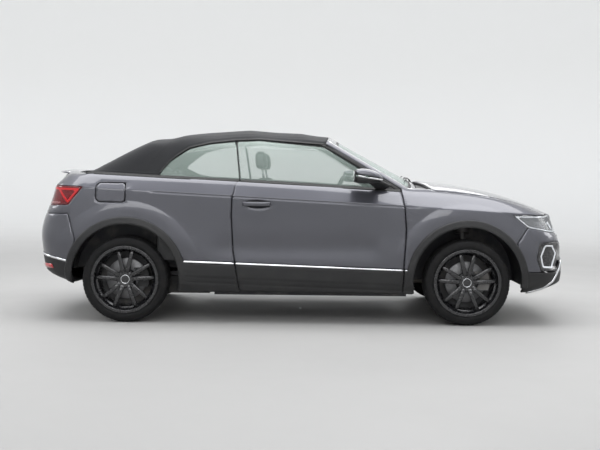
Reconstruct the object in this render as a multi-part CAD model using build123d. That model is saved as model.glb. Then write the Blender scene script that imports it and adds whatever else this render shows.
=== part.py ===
"""Compact four-seat convertible car with a fabric top, as an assembly of separate pieces.

Millimetres. +X runs to the nose, +Y to the car's left, +Z up. The origin is at the middle of
the overall box, on the ground. Places along the car are measured from the axle they belong to.
"""
from build123d import *
import math
import os

# ---------------------------------------------------------------- driving sizes
WHEELBASE = 2631.0
FRONT_OVERHANG = 853.0
REAR_OVERHANG = 784.0
WIDTH = 1811.0              # over the arch cladding
MIRROR_WIDTH = 1992.0
HEIGHT = 1522.0
TRACK = 1538.0
TYRE_D = 662.0
TYRE_W = 225.0
RIM_D = 516.0               # over the rim flange
RIM_W = 205.0
ARCH_GAP = 84.0             # tyre to wheel opening, at the top
ARCH_RISE = 10.0            # the wheel opening's centre above the wheel's
CLADDING_W = 57.0           # arch cladding, along the radius
CLADDING_PROUD = 12.0       # how far the cladding stands out of the painted skin
SKIN_IN = CLADDING_PROUD + 8.0
DOOR_T = 105.0              # whole door, and the cabin wall behind it
PANEL_T = 45.0              # wings and bumpers
LID_T = 38.0                # bonnet and boot lid
GLASS_T = 5.0
FABRIC_T = 24.0             # outer fabric, padding and headlining
SHUT_GAP = 6.0              # between a moving panel and its neighbours
JOINT_GAP = 1.0             # between fixed panels
FLOOR_Z = 205.0
FLOOR_T = 28.0

LENGTH = WHEELBASE + FRONT_OVERHANG + REAR_OVERHANG
NOSE = LENGTH / 2
TAIL = -LENGTH / 2
FRONT_AXLE = NOSE - FRONT_OVERHANG
REAR_AXLE = TAIL + REAR_OVERHANG
HALF = WIDTH / 2
HALF_TRACK = TRACK / 2
WHEEL_R = TYRE_D / 2
ARCH_R = WHEEL_R + ARCH_GAP
ARCH_Z = WHEEL_R + ARCH_RISE
FAR = 3000.0                # past the car on any side


def front(x):
    """A place measured from the front axle."""
    return FRONT_AXLE + x


def rear(x):
    """A place measured from the rear axle."""
    return REAR_AXLE + x


# ---------------------------------------------------------------- helpers for solids
def block(x0, x1, y0, y1, z0, z1):
    return Pos((x0 + x1) / 2, (y0 + y1) / 2, (z0 + z1) / 2) * Box(x1 - x0, y1 - y0, z1 - z0)


def both(solid):
    """A solid and its mirror image on the other side of the car."""
    return [solid, solid.mirror(Plane.XZ)]


def side_prism(points, y0, y1):
    """An outline in side view, as (x, z) points, carried across the car from y0 to y1."""
    wire = Wire.make_polygon([(x, y0, z) for x, z in points], close=True)
    return Solid.extrude(Face(wire), Vector(0, y1 - y0, 0))


def plan_prism(points, z0, z1):
    """An outline in plan, as (x, y) points, carried up from z0 to z1."""
    wire = Wire.make_polygon([(x, y, z0) for x, y in points], close=True)
    return Solid.extrude(Face(wire), Vector(0, 0, z1 - z0))


def end_prism(points, x0, x1):
    """An outline seen from the end, as (y, z) points, carried along the car from x0 to x1."""
    wire = Wire.make_polygon([(x0, y, z) for y, z in points], close=True)
    return Solid.extrude(Face(wire), Vector(x1 - x0, 0, 0))


def rod(start, end, radius):
    """A round bar between two points."""
    a, b = Vector(*start), Vector(*end)
    return Solid.make_cylinder(radius, (b - a).length, Plane(a, z_dir=(b - a)))


def cross_cylinder(x, z, radius, y0, y1):
    """A cylinder across the car."""
    return Solid.make_cylinder(radius, y1 - y0, Plane((x, y0, z), z_dir=(0, 1, 0)))


def plan_loop(level, inset):
    """One level of a body: a closed loop of eight arcs, brought in by inset all round.

    The loop passes the nose, a front corner, the front of the side, the middle of the side,
    the rear of the side, a rear corner and the tail, and its plane falls towards the nose.
    """
    z, slope, nose, fc, fs, side, rs, rc, tail = level

    def point(x, y):
        return (x, y, z + slope * x)

    def pulled(a, b, corner, share):
        middle = ((a[0] + b[0]) / 2, (a[1] + b[1]) / 2)
        return tuple(m + share * (c - m) for m, c in zip(middle, corner))

    def other(p):
        return (p[0], -p[1])

    nose, tail = (nose - inset, 0.0), (tail + inset, 0.0)
    fc, fs = (fc[0] - inset, fc[1] - inset), (fs[0] - inset, fs[1] - inset)
    rs, rc = (rs[0] + inset, rs[1] - inset), (rc[0] + inset, rc[1] - inset)
    side = (side[0], side[1] - inset)
    kf = pulled(fc, fs, (fc[0], fs[1]), CORNER_PULL)
    kr = pulled(rs, rc, (rc[0], rs[1]), CORNER_PULL)
    arcs = [(other(fc), nose, fc), (fc, kf, fs), (fs, side, rs), (rs, kr, rc), (rc, tail, other(rc)),
            (other(rc), other(kr), other(rs)), (other(rs), other(side), other(fs)),
            (other(fs), other(kf), other(fc))]
    return Wire([Edge.make_three_point_arc(*[point(*p) for p in arc]) for arc in arcs])


def loft(levels, inset=0.0):
    return Solid.make_loft([plan_loop(level, inset) for level in levels], ruled=True)


# ---------------------------------------------------------------- body surfaces
CORNER_PULL = 0.42          # how square the corners are in plan: 0 is a straight cut, 1 is square
BELT_SLOPE = -0.049         # the belt falls towards the nose
BELT_Z = 1071.0

# Body levels, from the bottom up. Columns: z, slope, side inset from the skin, then the nose and
# the front corner back from the nose, the front of the side, the rear of the side, the rear
# corner and the tail forward from the tail. Insets are from the skin's half width.
SKIN = HALF - SKIN_IN
BODY_LEVELS = [
    # z, slope, side_in, nose, (fc_back, fc_y), (fs_back, fs_in), (rs_fwd, rs_in), (rc_fwd, rc_y), tail
    (230, -0.008, 45, 300, (340, 480), (560, 95), (620, 95), (480, 480), 430),
    (330, -0.010, 14, 20, (75, 560), (360, 42), (400, 42), (120, 600), 55),
    (450, -0.030, 0, 5, (66, 585), (350, 16), (380, 16), (98, 620), 28),
    (650, -0.030, 6, 0, (70, 590), (355, 18), (360, 18), (78, 640), 0),
    (780, -0.025, 2, 28, (105, 600), (375, 26), (375, 26), (150, 610), 95),
    (954, BELT_SLOPE, 8, 50, (200, 600), (500, 66), (430, 60), (200, 640), 140),
    (1073, BELT_SLOPE, 78, 330, (430, 480), (690, 175), (560, 132), (300, 560), 180),
    (1180, BELT_SLOPE, 240, 600, (700, 350), (950, 330), (620, 300), (350, 430), 230),
]


def body_level(z, slope, side_in, nose, fc, fs, rs, rc, tail):
    return (z, slope, NOSE - nose, (NOSE - fc[0], fc[1]), (NOSE - fs[0], SKIN - fs[1]),
            ((FRONT_AXLE + REAR_AXLE) / 2, SKIN - side_in),
            (TAIL + rs[0], SKIN - rs[1]), (TAIL + rc[0], rc[1]), TAIL + tail)


LEVELS = [body_level(*row) for row in BODY_LEVELS]
BONNET_R = 4300.0           # the bonnet curves across the car
DECK_R = 7500.0             # and so does the deck
CABIN_TOP = 1320.0           # above the belt: the cabin has no lid here

# The top of the body at the middle of the car: the deck, the cabin and then the bonnet's arc.
DECK_Z = 1174.0
COWL = (front(-411), 1106.0)
BULKHEAD = front(-440)
DECK_START = rear(-396)
BONNET_MIDDLE = (front(264), 1030.0)
BONNET_NOSE = (front(720), 884.0)
PAST_NOSE_Z = 816.0         # the bonnet's last fall, carried past the nose


def under_arch(lines, radius, base_z):
    """The space under a line along the car that curves down to both sides, with a level foot."""
    face = Face(Wire([edge for line in lines for edge in line.edges()]))
    axis = Axis((0, 0, base_z - radius), (1, 0, 0))
    half_angle = math.degrees(1.25 * HALF / radius)
    return Solid.revolve(face.rotate(axis, -half_angle), 2 * half_angle, axis)


def crowned(drop=0.0):
    """The space under the deck, the open cabin and the bonnet."""
    def path(*points):
        return Polyline(*[(x, 0, z - drop) for x, z in points])

    past_nose, past_tail = NOSE + 100.0, TAIL - 100.0
    bonnet = ThreePointArc(*[(x, 0, z - drop) for x, z in (COWL, BONNET_MIDDLE, BONNET_NOSE)])
    ahead = [bonnet, path(BONNET_NOSE, (past_nose, PAST_NOSE_Z), (past_nose, drop), (BULKHEAD, drop),
                          (BULKHEAD, COWL[1]), COWL)]
    behind = [path((BULKHEAD, drop), (BULKHEAD, CABIN_TOP), (DECK_START, CABIN_TOP), (DECK_START, DECK_Z),
                   (past_tail, DECK_Z), (past_tail, drop), (BULKHEAD, drop))]
    return under_arch(ahead, BONNET_R, BELT_Z) + under_arch(behind, DECK_R, BELT_Z)


outer = loft(LEVELS) & crowned()
thin = outer - (loft(LEVELS, PANEL_T) & crowned(LID_T))
thick = outer - loft(LEVELS, DOOR_T)

# ---------------------------------------------------------------- greenhouse surfaces
# Levels of the glass and the fabric top, with the same columns as a level of the body, as
# places: the roof's own crown cuts them off above.
SIDE_AT_BELT = HALF - 150.0
ROOF_SIDE = HALF - 312.0


def top_level(z, slope, nose, side, rear_side, rear_corner, tail):
    front_side = (nose - 280, side - 12)
    middle = ((front_side[0] + rear_side[0]) / 2, side)
    return (z, slope, nose, (nose - 60, side - 150), front_side, middle, rear_side, rear_corner, tail)


TOP_LEVELS = [
    # z, slope, nose, side, rear of the side, rear corner, tail
    top_level(BELT_Z - 12, BELT_SLOPE, front(-250), SIDE_AT_BELT, (rear(-130), 705), (rear(-340), 560), rear(-412)),
    top_level(1300, 0, front(-560), SIDE_AT_BELT - 92, (rear(140), 628), (rear(-70), 500), rear(-142)),
    top_level(1425, 0, front(-900), ROOF_SIDE, (rear(400), 560), (rear(185), 450), rear(112)),
    top_level(1540, 0, front(-1150), ROOF_SIDE - 150, (rear(700), 400), (rear(560), 330), rear(480)),
]
ROOF_R = 2800.0             # the roof curves across the car
ROOF_BASE_Z = 1000.0
# The roof's line at the middle of the car, from the windscreen header back over the bows.
HEADER = (front(-1046), 1466.0)
BOWS = [(front(-1290), 1498.0), (front(-1717), HEIGHT), (rear(380), 1493.0), (rear(115), 1438.0)]
DECK_FOOT = (rear(-440), 1166.0)


def roof_space(drop=0.0):
    """The space under the roof's line, curved down towards both sides."""
    ahead = (HEADER[0] + 700.0, HEADER[1] - 130.0)
    line = [ahead, HEADER, *BOWS, DECK_FOOT, (DECK_FOOT[0], ROOF_BASE_Z), (ahead[0], ROOF_BASE_Z)]
    axis = Axis((0, 0, HEIGHT - ROOF_R), (1, 0, 0))
    face = Face(Wire.make_polygon([(x, 0, z - drop) for x, z in line], close=True))
    half_angle = math.degrees(1.1 * HALF / ROOF_R)
    return Solid.revolve(face.rotate(axis, -half_angle), 2 * half_angle, axis)


# ---------------------------------------------------------------- lines of the side view
BELT = [(rear(-218), 1142), (rear(174), 1122), (rear(874), 1095), (front(-1293), 1073), (front(-907), 1050),
        (front(-521), 1028)]
DOOR_REAR = [(rear(860), 1095), (rear(820), 973), (rear(814), 836), (rear(880), 245)]
DOOR_FRONT = [(front(-506), 1028), (front(-487), 903), (front(-474), 735), (front(-489), 444), (front(-493), 236)]
SILL_Z = 238.0
STRIP = [(rear(447), 476), (rear(906), 462), (front(-429), 422)]     # top of the sill cladding


def along(line, x):
    """Height of a side-view line at a place along the car."""
    line = sorted(line)
    for (x0, z0), (x1, z1) in zip(line, line[1:]):
        if x <= x1:
            break
    return z0 + (z1 - z0) * (x - x0) / (x1 - x0)


def moved(points, dx, dz=0.0):
    return [(x + dx, z + dz) for x, z in points]


def right_half(points):
    return side_prism(points, -FAR, 0)


REST_GAP = 0.3              # between a piece and what it is seated on
door_rear_x = min(x for x, z in DOOR_REAR)
door_front_x = max(x for x, z in DOOR_FRONT)
hinge_x = door_front_x + 1.0
hinge_y = SKIN + 4.0
cabin_rear_x = rear(180)
cowl_x = front(-345)
firewall_x = front(-480)
SHEET = 24.0                # floors and bulkheads of the tub

# ---------------------------------------------------------------- doors
door_belt = [p for p in BELT if DOOR_REAR[0][0] < p[0] < DOOR_FRONT[0][0]]
door_outline = [*DOOR_REAR[::-1], *door_belt, *DOOR_FRONT]
door_space = right_half(door_outline) & (Pos(hinge_x, -hinge_y, 0) * Cylinder(hinge_x - door_rear_x, FAR))
sill_cover = loft(LEVELS, -CLADDING_PROUD) - loft(LEVELS, 1.0)
under_strip = right_half([(TAIL, 0), (TAIL, along(STRIP, TAIL)), (NOSE, along(STRIP, NOSE)), (NOSE, 0)])
door_right = (thick + (sill_cover & under_strip)) & door_space
LEAF_Z = ((380.0, 440.0), (780.0, 840.0))
LEAF_Y = (-SKIN + PANEL_T + 20.0, -SKIN + DOOR_T - 5.0)
leaf_x = hinge_x - 2.0      # where the two leaves of a door's hinge meet
body_leaves = []
for z0, z1 in LEAF_Z:
    door_right = door_right + block(door_front_x - 40, leaf_x, *LEAF_Y, z0, z1)
    body_leaves.append(block(leaf_x + REST_GAP, firewall_x + 28, LEAF_Y[0], -685, z0, z1))

# ---------------------------------------------------------------- wheel arches and cladding
arch_at = {"front": FRONT_AXLE, "rear": REAR_AXLE}
proud = loft(LEVELS, -CLADDING_PROUD)
face_cover = proud - loft(LEVELS, -REST_GAP)
LIP_DEPTH = 40.0
LIP_W = 10.0
lip_cover = proud - loft(LEVELS, LIP_DEPTH)
CLADDING_FOOT_Z = 300.0


def arch(x, radius, y0=-FAR, y1=0.0):
    return cross_cylinder(x, ARCH_Z, radius, y0, y1)


front_sill = block(hinge_x + SHUT_GAP, FRONT_AXLE, -FAR, 0, 0, ARCH_Z) & under_strip
rear_sill = block(REAR_AXLE, door_rear_x - SHUT_GAP, -FAR, 0, 0, 2 * ARCH_Z) & under_strip
above_foot = block(-FAR, FAR, -FAR, 0, CLADDING_FOOT_Z, FAR)
clear_of_door = {"front": block(hinge_x + SHUT_GAP, FAR, -FAR, 0, 0, FAR),
                 "rear": block(-FAR, door_rear_x - SHUT_GAP, -FAR, 0, 0, FAR)}
cladding = []
for name, sill in (("front", front_sill), ("rear", rear_sill)):
    x = arch_at[name]
    outline = (arch(x, ARCH_R + CLADDING_W) & above_foot) + sill
    face_part = face_cover & outline
    lip_part = lip_cover & (arch(x, ARCH_R + LIP_W) & above_foot)
    piece = (face_part + lip_part) - arch(x, ARCH_R)
    cladding += both(piece & clear_of_door[name])
skin_arch_r = ARCH_R + LIP_W + JOINT_GAP
arch_cuts = arch(FRONT_AXLE, skin_arch_r) + arch(REAR_AXLE, skin_arch_r)

parts = {}

# ---------------------------------------------------------------- lids, lamps and their outlines
BONNET_PLAN = [(front(-330), 0), (front(-300), 400), (front(-255), 712), (front(200), 692),
               (front(480), 640), (front(640), 560), (NOSE + 50, 560), (NOSE + 50, 0)]
COWL_HALF = 718.0
SCREEN_HALF_FOOT = 745.0    # half the windscreen frame's width at its foot
FRAME_LOW_Z = 1046.0
BONNET_LOW_Z = 860.0
LID_HALF = 545.0
LID_FRONT = rear(-432)
LID_LOW_Z = 838.0
HEADLAMP = [(front(348), 853), (NOSE + 50, 853), (NOSE + 50, 722), (front(666), 722), (front(468), 756)]
HEADLAMP_IN = 470.0
TAIL_LAMP = [(rear(-333), 1040), (rear(-444), 902), (TAIL - 50, 888), (TAIL - 50, 1060)]
FRONT_SHUT = [(front(360), 0), (front(380), 640), (front(462), 754)]        # wing to bumper
REAR_SHUT = [(rear(-385), 0), (rear(-385), 640), (rear(-442), 832)]         # quarter to bumper
FLAP_X = (rear(-229), rear(-4))
FLAP_Z = (925.0, 1073.0)
FLAP_T = 14.0
FLAP_WELL = 60.0


def both_sides(points, gap=0.0):
    """A plan outline on the left, grown across the car by gap, and its mirror image."""
    left = [(x, y + gap if y else 0.0) for x, y in points]
    return left + [(x, -y) for x, y in reversed(left)]


bonnet_space = plan_prism(both_sides(BONNET_PLAN), BONNET_LOW_Z, FAR)
bonnet_room = plan_prism(both_sides(BONNET_PLAN, SHUT_GAP), BONNET_LOW_Z - SHUT_GAP, FAR)
lamp_shell = outer - loft(LEVELS, 80)
headlamp = lamp_shell & side_prism(HEADLAMP, -FAR, -HEADLAMP_IN)
tail_lamp = thin & side_prism(TAIL_LAMP, -FAR, -LID_HALF)
parts["headlamps"] = both(headlamp)
parts["tail_lamps"] = both(tail_lamp)
bonnet = thin & bonnet_space
PAD_X = (front(-320), front(-285))
PAD_Y = (-540.0, -480.0)
PAD_Z = 1010.0
pad = block(*PAD_X, *PAD_Y, PAD_Z, FAR) & (outer & crowned(LID_T - 4))
for solid in both(pad):
    bonnet = bonnet + solid
bonnet_bracket = block(cowl_x - 20, PAD_X[1], *PAD_Y, PAD_Z - 30, PAD_Z - REST_GAP)
parts["bonnet"] = [bonnet]

spoiler_plan = [(rear(-500), 0), (rear(-500), 530), (rear(-575), 530), (rear(-625), 300), (rear(-636), 0)]
SPOILER_T = 22.0
spoiler = plan_prism(both_sides(spoiler_plan), 0, FAR) & (crowned() - crowned(SPOILER_T))
lid_space = block(TAIL - 99, LID_FRONT, -LID_HALF + SHUT_GAP, LID_HALF - SHUT_GAP, LID_LOW_Z, FAR)
boot_lid = (thin & lid_space) + spoiler

# The lid turns on two pins, each between two cheeks of the body and through an ear of the lid.
LID_AXIS = (LID_FRONT + 12.0, DECK_Z - 18.0)
LID_HINGE_Y = 265.0
LID_EAR = 13.0              # half the ear's width
LID_PIN_R = 5.0
PIN_GAP = 0.05
CHEEK_T = 11.0
lid_cheeks = []
for y in (-LID_HINGE_Y, LID_HINGE_Y):
    x, z = LID_AXIS
    ear = block(LID_FRONT - 22, x + 7, y - LID_EAR, y + LID_EAR, z - 7, z + 7)
    boot_lid = (boot_lid + ear) - cross_cylinder(x, z, LID_PIN_R + PIN_GAP, y - LID_EAR - 1, y + LID_EAR + 1)
    for side in (-1, 1):
        edge = y + side * (LID_EAR + 1 + CHEEK_T / 2)
        lid_cheeks.append(block(x - 7, x + 6, edge - CHEEK_T / 2, edge + CHEEK_T / 2, DECK_Z - 46, z + 7) +
                          block(x - 7, x + 32, edge - CHEEK_T / 2, edge + CHEEK_T / 2, DECK_Z - 46, DECK_Z - 32))
    lid_cheeks.append(cross_cylinder(x, z, LID_PIN_R, y - LID_EAR - CHEEK_T, y + LID_EAR + CHEEK_T))
parts["boot_lid"] = [boot_lid]

# ---------------------------------------------------------------- wings, quarters and bumpers
SHUT_TOP = (front(462), BONNET_LOW_Z - 4)
front_of_shut = right_half([*FRONT_SHUT, SHUT_TOP, (NOSE + 99, SHUT_TOP[1]), (NOSE + 99, 0)])
rear_of_shut = right_half([*REAR_SHUT, (TAIL - 99, 832), (TAIL - 99, 0)])
wing_side = [(hinge_x + SHUT_GAP, 1200), (NOSE + 99, 1200), (NOSE + 99, SHUT_TOP[1]), SHUT_TOP,
             *moved(FRONT_SHUT[::-1], -JOINT_GAP), (hinge_x + SHUT_GAP, 0)]
cowl_room = block(0, front(-255), -COWL_HALF, COWL_HALF, 900, FAR) + \
    block(0, BULKHEAD, -SCREEN_HALF_FOOT, SCREEN_HALF_FOOT, FRAME_LOW_Z - SHUT_GAP, FAR)
lamp_room = side_prism(HEADLAMP, -FAR, -HEADLAMP_IN + JOINT_GAP)
SKIN_FOOT_Z = 250.0
skin_above = block(-FAR, FAR, -FAR, FAR, SKIN_FOOT_Z, FAR)
wing = ((thin & right_half(wing_side) & skin_above) - bonnet_room - cowl_room - lamp_room) - arch_cuts
front_bumper = ((thin & front_of_shut) - lamp_room) - arch_cuts

door_gap = moved(DOOR_REAR, -SHUT_GAP)
DECK_EDGE = (rear(-410), 1152.0)
quarter_side = [*door_gap[::-1], *BELT[1::-1], DECK_EDGE, (DECK_EDGE[0], CABIN_TOP), (TAIL - 99, CABIN_TOP),
                (TAIL - 99, 833), *moved(REAR_SHUT[::-1], JOINT_GAP)]
lid_room = block(TAIL - 99, LID_FRONT + SHUT_GAP, -LID_HALF, LID_HALF, 0, FAR)
flap_side = [(FLAP_X[0], FLAP_Z[0]), (FLAP_X[1], FLAP_Z[0]), (FLAP_X[1], FLAP_Z[1]), (FLAP_X[0], FLAP_Z[1])]
g = SHUT_GAP
flap_hole = [(FLAP_X[0] - g, FLAP_Z[0] - g), (FLAP_X[1] + g, FLAP_Z[0] - g),
             (FLAP_X[1] + g, FLAP_Z[1] + g), (FLAP_X[0] - g, FLAP_Z[1] + g)]
quarter = ((thick & right_half(quarter_side) & skin_above) - lid_room - right_half(TAIL_LAMP)) - arch_cuts
parts["quarter_panel_left"] = [quarter.mirror(Plane.XZ)]
FLAP_PIN_IN = 8.0           # the hinge pin, behind the flap's front edge
FLAP_PIN_R = 3.0
FLAP_PIN_RISE = 85.0
flap = (outer - loft(LEVELS, FLAP_T)) & right_half(flap_side)
pin_x = FLAP_X[1] - FLAP_PIN_IN


def flap_point(z):
    """A point in the middle of the flap's thickness, on the line of its hinge."""
    cut = flap & block(pin_x - 0.5, pin_x + 0.5, -FAR, 0, z - 0.5, z + 0.5)
    return (pin_x, cut.center().Y, z)


# The pin stands in the flap's straight part, under its crease, and its foot turns in the quarter.
pin_low, pin_top = flap_point(FLAP_Z[0] + 10), flap_point(FLAP_Z[0] + FLAP_PIN_RISE)
pin_rise = (pin_top[1] - pin_low[1]) / (pin_top[2] - pin_low[2])


def flap_pin(radius, past):
    foot_z = FLAP_Z[0] - past
    return rod((pin_x, pin_low[1] + pin_rise * (foot_z - pin_low[2]), foot_z), pin_top, radius)


parts["quarter_panel_right"] = [quarter - (right_half(flap_hole) - loft(LEVELS, FLAP_WELL))
                                - flap_pin(FLAP_PIN_R + PIN_GAP, SHUT_GAP + 8)]
parts["fuel_flap"] = [flap + flap_pin(FLAP_PIN_R, SHUT_GAP + 6)]
parts["fender_left"] = [wing.mirror(Plane.XZ)]
parts["fender_right"] = [wing]
parts["arch_cladding"] = cladding
parts["door_left"] = [door_right.mirror(Plane.XZ)]
parts["door_right"] = [door_right]

GRILLE_Z = (705.0, 812.0)
GRILLE_HALF = 460.0
INTAKE = [(-620, 520), (-560, 330), (560, 330), (620, 520)]
grille_hole = end_prism([(-GRILLE_HALF, GRILLE_Z[0]), (GRILLE_HALF, GRILLE_Z[0]),
                         (GRILLE_HALF, GRILLE_Z[1]), (-GRILLE_HALF, GRILLE_Z[1])], front(600), NOSE + 99)
intake_hole = end_prism(INTAKE, front(600), NOSE + 99)
bumper = (front_bumper + front_bumper.mirror(Plane.XZ)) - grille_hole - intake_hole
parts["front_bumper"] = [bumper]
slat_shell = loft(LEVELS, 12) - loft(LEVELS, 32)
SLAT_H = 12.0


def slats(hole, low, high, pitch, half, posts):
    """Level bars across an opening, joined by upright ones."""
    bars = None
    count = int((high - low) // pitch)
    for n in range(count + 1):
        z = low + (high - low) * n / count
        bar = block(front(600), NOSE + 99, -half, half, z - SLAT_H / 2, z + SLAT_H / 2)
        bars = bar if bars is None else bars + bar
    for y in posts:
        bars = bars + block(front(600), NOSE + 99, y - 8, y + 8, low, high)
    return slat_shell & hole & bars


parts["grille"] = [slats(grille_hole, *GRILLE_Z, 36, GRILLE_HALF, (-452, -150, 150, 452)),
                   slats(intake_hole, 330, 520, 38, 640, (-560, -300, 0, 300, 560))]
rear_half = (thin & rear_of_shut) - arch_cuts
parts["rear_bumper"] = [rear_half + rear_half.mirror(Plane.XZ)]

# ---------------------------------------------------------------- windscreen and its frame
SCREEN_FOOT = (front(-372), 1104.0)         # at the middle, on the outer face
SCREEN_HEAD = (front(-1046), 1466.0)
SCREEN_SAG = 93.0                           # how far the screen's sides curve back
SCREEN_HALF_HEAD = 612.0
PILLAR_W = 60.0
FRAME_T = 44.0
screen_run = math.dist(SCREEN_FOOT, SCREEN_HEAD)
screen_up = ((SCREEN_HEAD[0] - SCREEN_FOOT[0]) / screen_run, (SCREEN_HEAD[1] - SCREEN_FOOT[1]) / screen_run)
screen_in = (-screen_up[1], screen_up[0])


def on_screen(s, y, depth):
    """A point of the windscreen: s up from its foot, y across, and depth inwards."""
    return (SCREEN_FOOT[0] + s * screen_up[0] + depth * screen_in[0], y,
            SCREEN_FOOT[1] + s * screen_up[1] + depth * screen_in[1])


def screen_slab(s0, s1, side_in, depth0, depth1):
    """A curved plate on the windscreen between two depths."""
    loops = []
    for s in (s0, s1):
        half = SCREEN_HALF_FOOT + (SCREEN_HALF_HEAD - SCREEN_HALF_FOOT) * s / screen_run - side_in
        sag = -SCREEN_SAG * (half / SCREEN_HALF_FOOT) ** 2
        a = [on_screen(s, -half, depth0 - sag), on_screen(s, 0, depth0), on_screen(s, half, depth0 - sag)]
        b = [on_screen(s, half, depth1 - sag), on_screen(s, 0, depth1), on_screen(s, -half, depth1 - sag)]
        loops.append(Wire([Edge.make_three_point_arc(*a), Edge.make_line(a[2], b[0]),
                           Edge.make_three_point_arc(*b), Edge.make_line(b[2], a[0])]))
    return Solid.make_loft(loops, ruled=True)


SCREEN_TOP_RAIL = 70.0
BASE_T = 14.0
frame_slab = screen_slab(-36, screen_run + 8, 0, 0, FRAME_T)
screen_hole = screen_slab(15, screen_run - SCREEN_TOP_RAIL, PILLAR_W, -40, FRAME_T + 60)
below_frame = block(firewall_x - JOINT_GAP, NOSE, -FAR, FAR, 0, FRAME_LOW_Z)
below_door_line = side_prism([(0, 0), (0, along(BELT, 0) + SHUT_GAP),
                              (hinge_x + SHUT_GAP, along(BELT, hinge_x) + SHUT_GAP), (hinge_x + SHUT_GAP, 0)], -FAR, FAR)
base_plate = block(front(-500), front(-385), -690, 690, FRAME_LOW_Z, FRAME_LOW_Z + BASE_T)
parts["windscreen_frame"] = [((frame_slab - screen_hole) + base_plate) - below_frame - below_door_line]
parts["windscreen"] = [screen_slab(15, screen_run - SCREEN_TOP_RAIL, PILLAR_W, 3, 3 + GLASS_T)
                       - block(0, NOSE, -FAR, FAR, 0, FRAME_LOW_Z + BASE_T)]

# ---------------------------------------------------------------- fabric top and side glass
QUARTER_GLASS = [(rear(872), 1060), (rear(826), 1413), (rear(621), 1391), (rear(464), 1351), (rear(359), 1280),
                 (rear(315), 1241), (rear(246), 1153), (rear(240), 1080)]
RAIL = [(front(-1614), 1421), (front(-1088), 1381)]
DOOR_GLASS = [(rear(884), 1060), (rear(838), 1412), RAIL[0], (front(-1110), 1373), (front(-529), 1027),
              (front(-529), 1000)]
B_GAP = 12.0
top_outer = loft(TOP_LEVELS) & roof_space()
top_inner = loft(TOP_LEVELS, FABRIC_T) & roof_space(FABRIC_T)
windows = [(rear(238), 900), (rear(238), 1119), (rear(244), 1154), (rear(313), 1243), (rear(357), 1282), (rear(462), 1353),
           (rear(620), 1393), (rear(826), 1418), (RAIL[0][0], 1427), (RAIL[1][0], 1387), (front(-700), 1387),
           (front(-700), 900)]
ahead_of_top = [on_screen(screen_run + 10, 0, depth) for depth in (-200, 500)]
ahead_prism = side_prism([(x, z) for x, y, z in ahead_of_top] + [(NOSE, 700), (NOSE, 2000)], -FAR, FAR)
top_foot = moved([(TAIL, DECK_EDGE[1]), DECK_EDGE, *BELT[:2]], 0, REST_GAP)
belt_prism = side_prism([(TAIL, 0), *top_foot, (rear(300), 1117), (rear(300), 0)], -FAR, FAR)
REAR_GLASS = [(-400, 1235), (-345, 1385), (345, 1385), (400, 1235)]
rear_hole = end_prism(REAR_GLASS, rear(-500), rear(250))
soft_top = (top_outer - top_inner) - side_prism(windows, -FAR, FAR) - ahead_prism - belt_prism
parts["soft_top"] = [soft_top - rear_hole]
GLASS_IN = 8.0
glass_skin = (loft(TOP_LEVELS, GLASS_IN) & roof_space(GLASS_IN)) - \
    (loft(TOP_LEVELS, GLASS_IN + GLASS_T) & roof_space(GLASS_IN + GLASS_T))
parts["rear_window"] = [glass_skin & rear_hole]


def glass(outline, low_gap):
    """A pane of the side glass that stands on the belt."""
    floor = [(TAIL, 0), *[(x, along(BELT, x) + low_gap) for x in (TAIL, *sorted(p[0] for p in BELT), NOSE)], (NOSE, 0)]
    return (glass_skin & right_half(outline)) - right_half(floor)


quarter_glass = glass(QUARTER_GLASS, REST_GAP)
door_glass = glass(DOOR_GLASS, REST_GAP)
parts["quarter_glasses"] = both(quarter_glass)
parts["door_glass_left"] = [door_glass.mirror(Plane.XZ)]
parts["door_glass_right"] = [door_glass]

# ---------------------------------------------------------------- door mirrors
MIRROR_X = (front(-888), front(-662))
MIRROR_Z = (1086.0, 1200.0)
mirror_head = fillet(block(*MIRROR_X, -MIRROR_WIDTH / 2, -MIRROR_WIDTH / 2 + 195, *MIRROR_Z).edges(), 32)
foot_x = (front(-780), front(-700))
foot_low = [(x, along(BELT, x) + REST_GAP) for x in foot_x]
mirror_foot = side_prism([*foot_low, (foot_x[1], 1105), (foot_x[0], 1105)], -826, -766)
mirror_right = mirror_head + mirror_foot
parts["mirror_left"] = [mirror_right.mirror(Plane.XZ)]
parts["mirror_right"] = [mirror_right]

# ---------------------------------------------------------------- seats
SEAT_Y = 370.0
SEAT_HALF = 245.0


def seat(y):
    """A front seat: frame on two runners, cushion, leaning back and headrest in one solid."""
    x = rear(1180)
    low = FLOOR_Z + FLOOR_T + REST_GAP
    cushion = side_prism([(x - 40, 400), (x - 30, 520), (x + 440, 560), (x + 490, 540), (x + 480, 430), (x + 400, 400)],
                         y - SEAT_HALF, y + SEAT_HALF)
    back = side_prism([(x - 30, 470), (x + 90, 500), (x - 10, 760), (x - 90, 1130), (x - 190, 1130), (x - 150, 700)],
                      y - SEAT_HALF + 12, y + SEAT_HALF - 12)
    rest = side_prism([(x - 200, 1190), (x - 105, 1190), (x - 110, 1310), (x - 150, 1345), (x - 215, 1330)],
                      y - 125, y + 125)
    solid = cushion + back + rest
    for side in (-60, 60):
        solid = solid + rod((x - 145, y + side, 1100), (x - 160, y + side, 1230), 8)
    for side in (-190, 190):
        solid = solid + block(x, x + 400, y + side - 25, y + side + 25, low, 402)
    return solid


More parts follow.
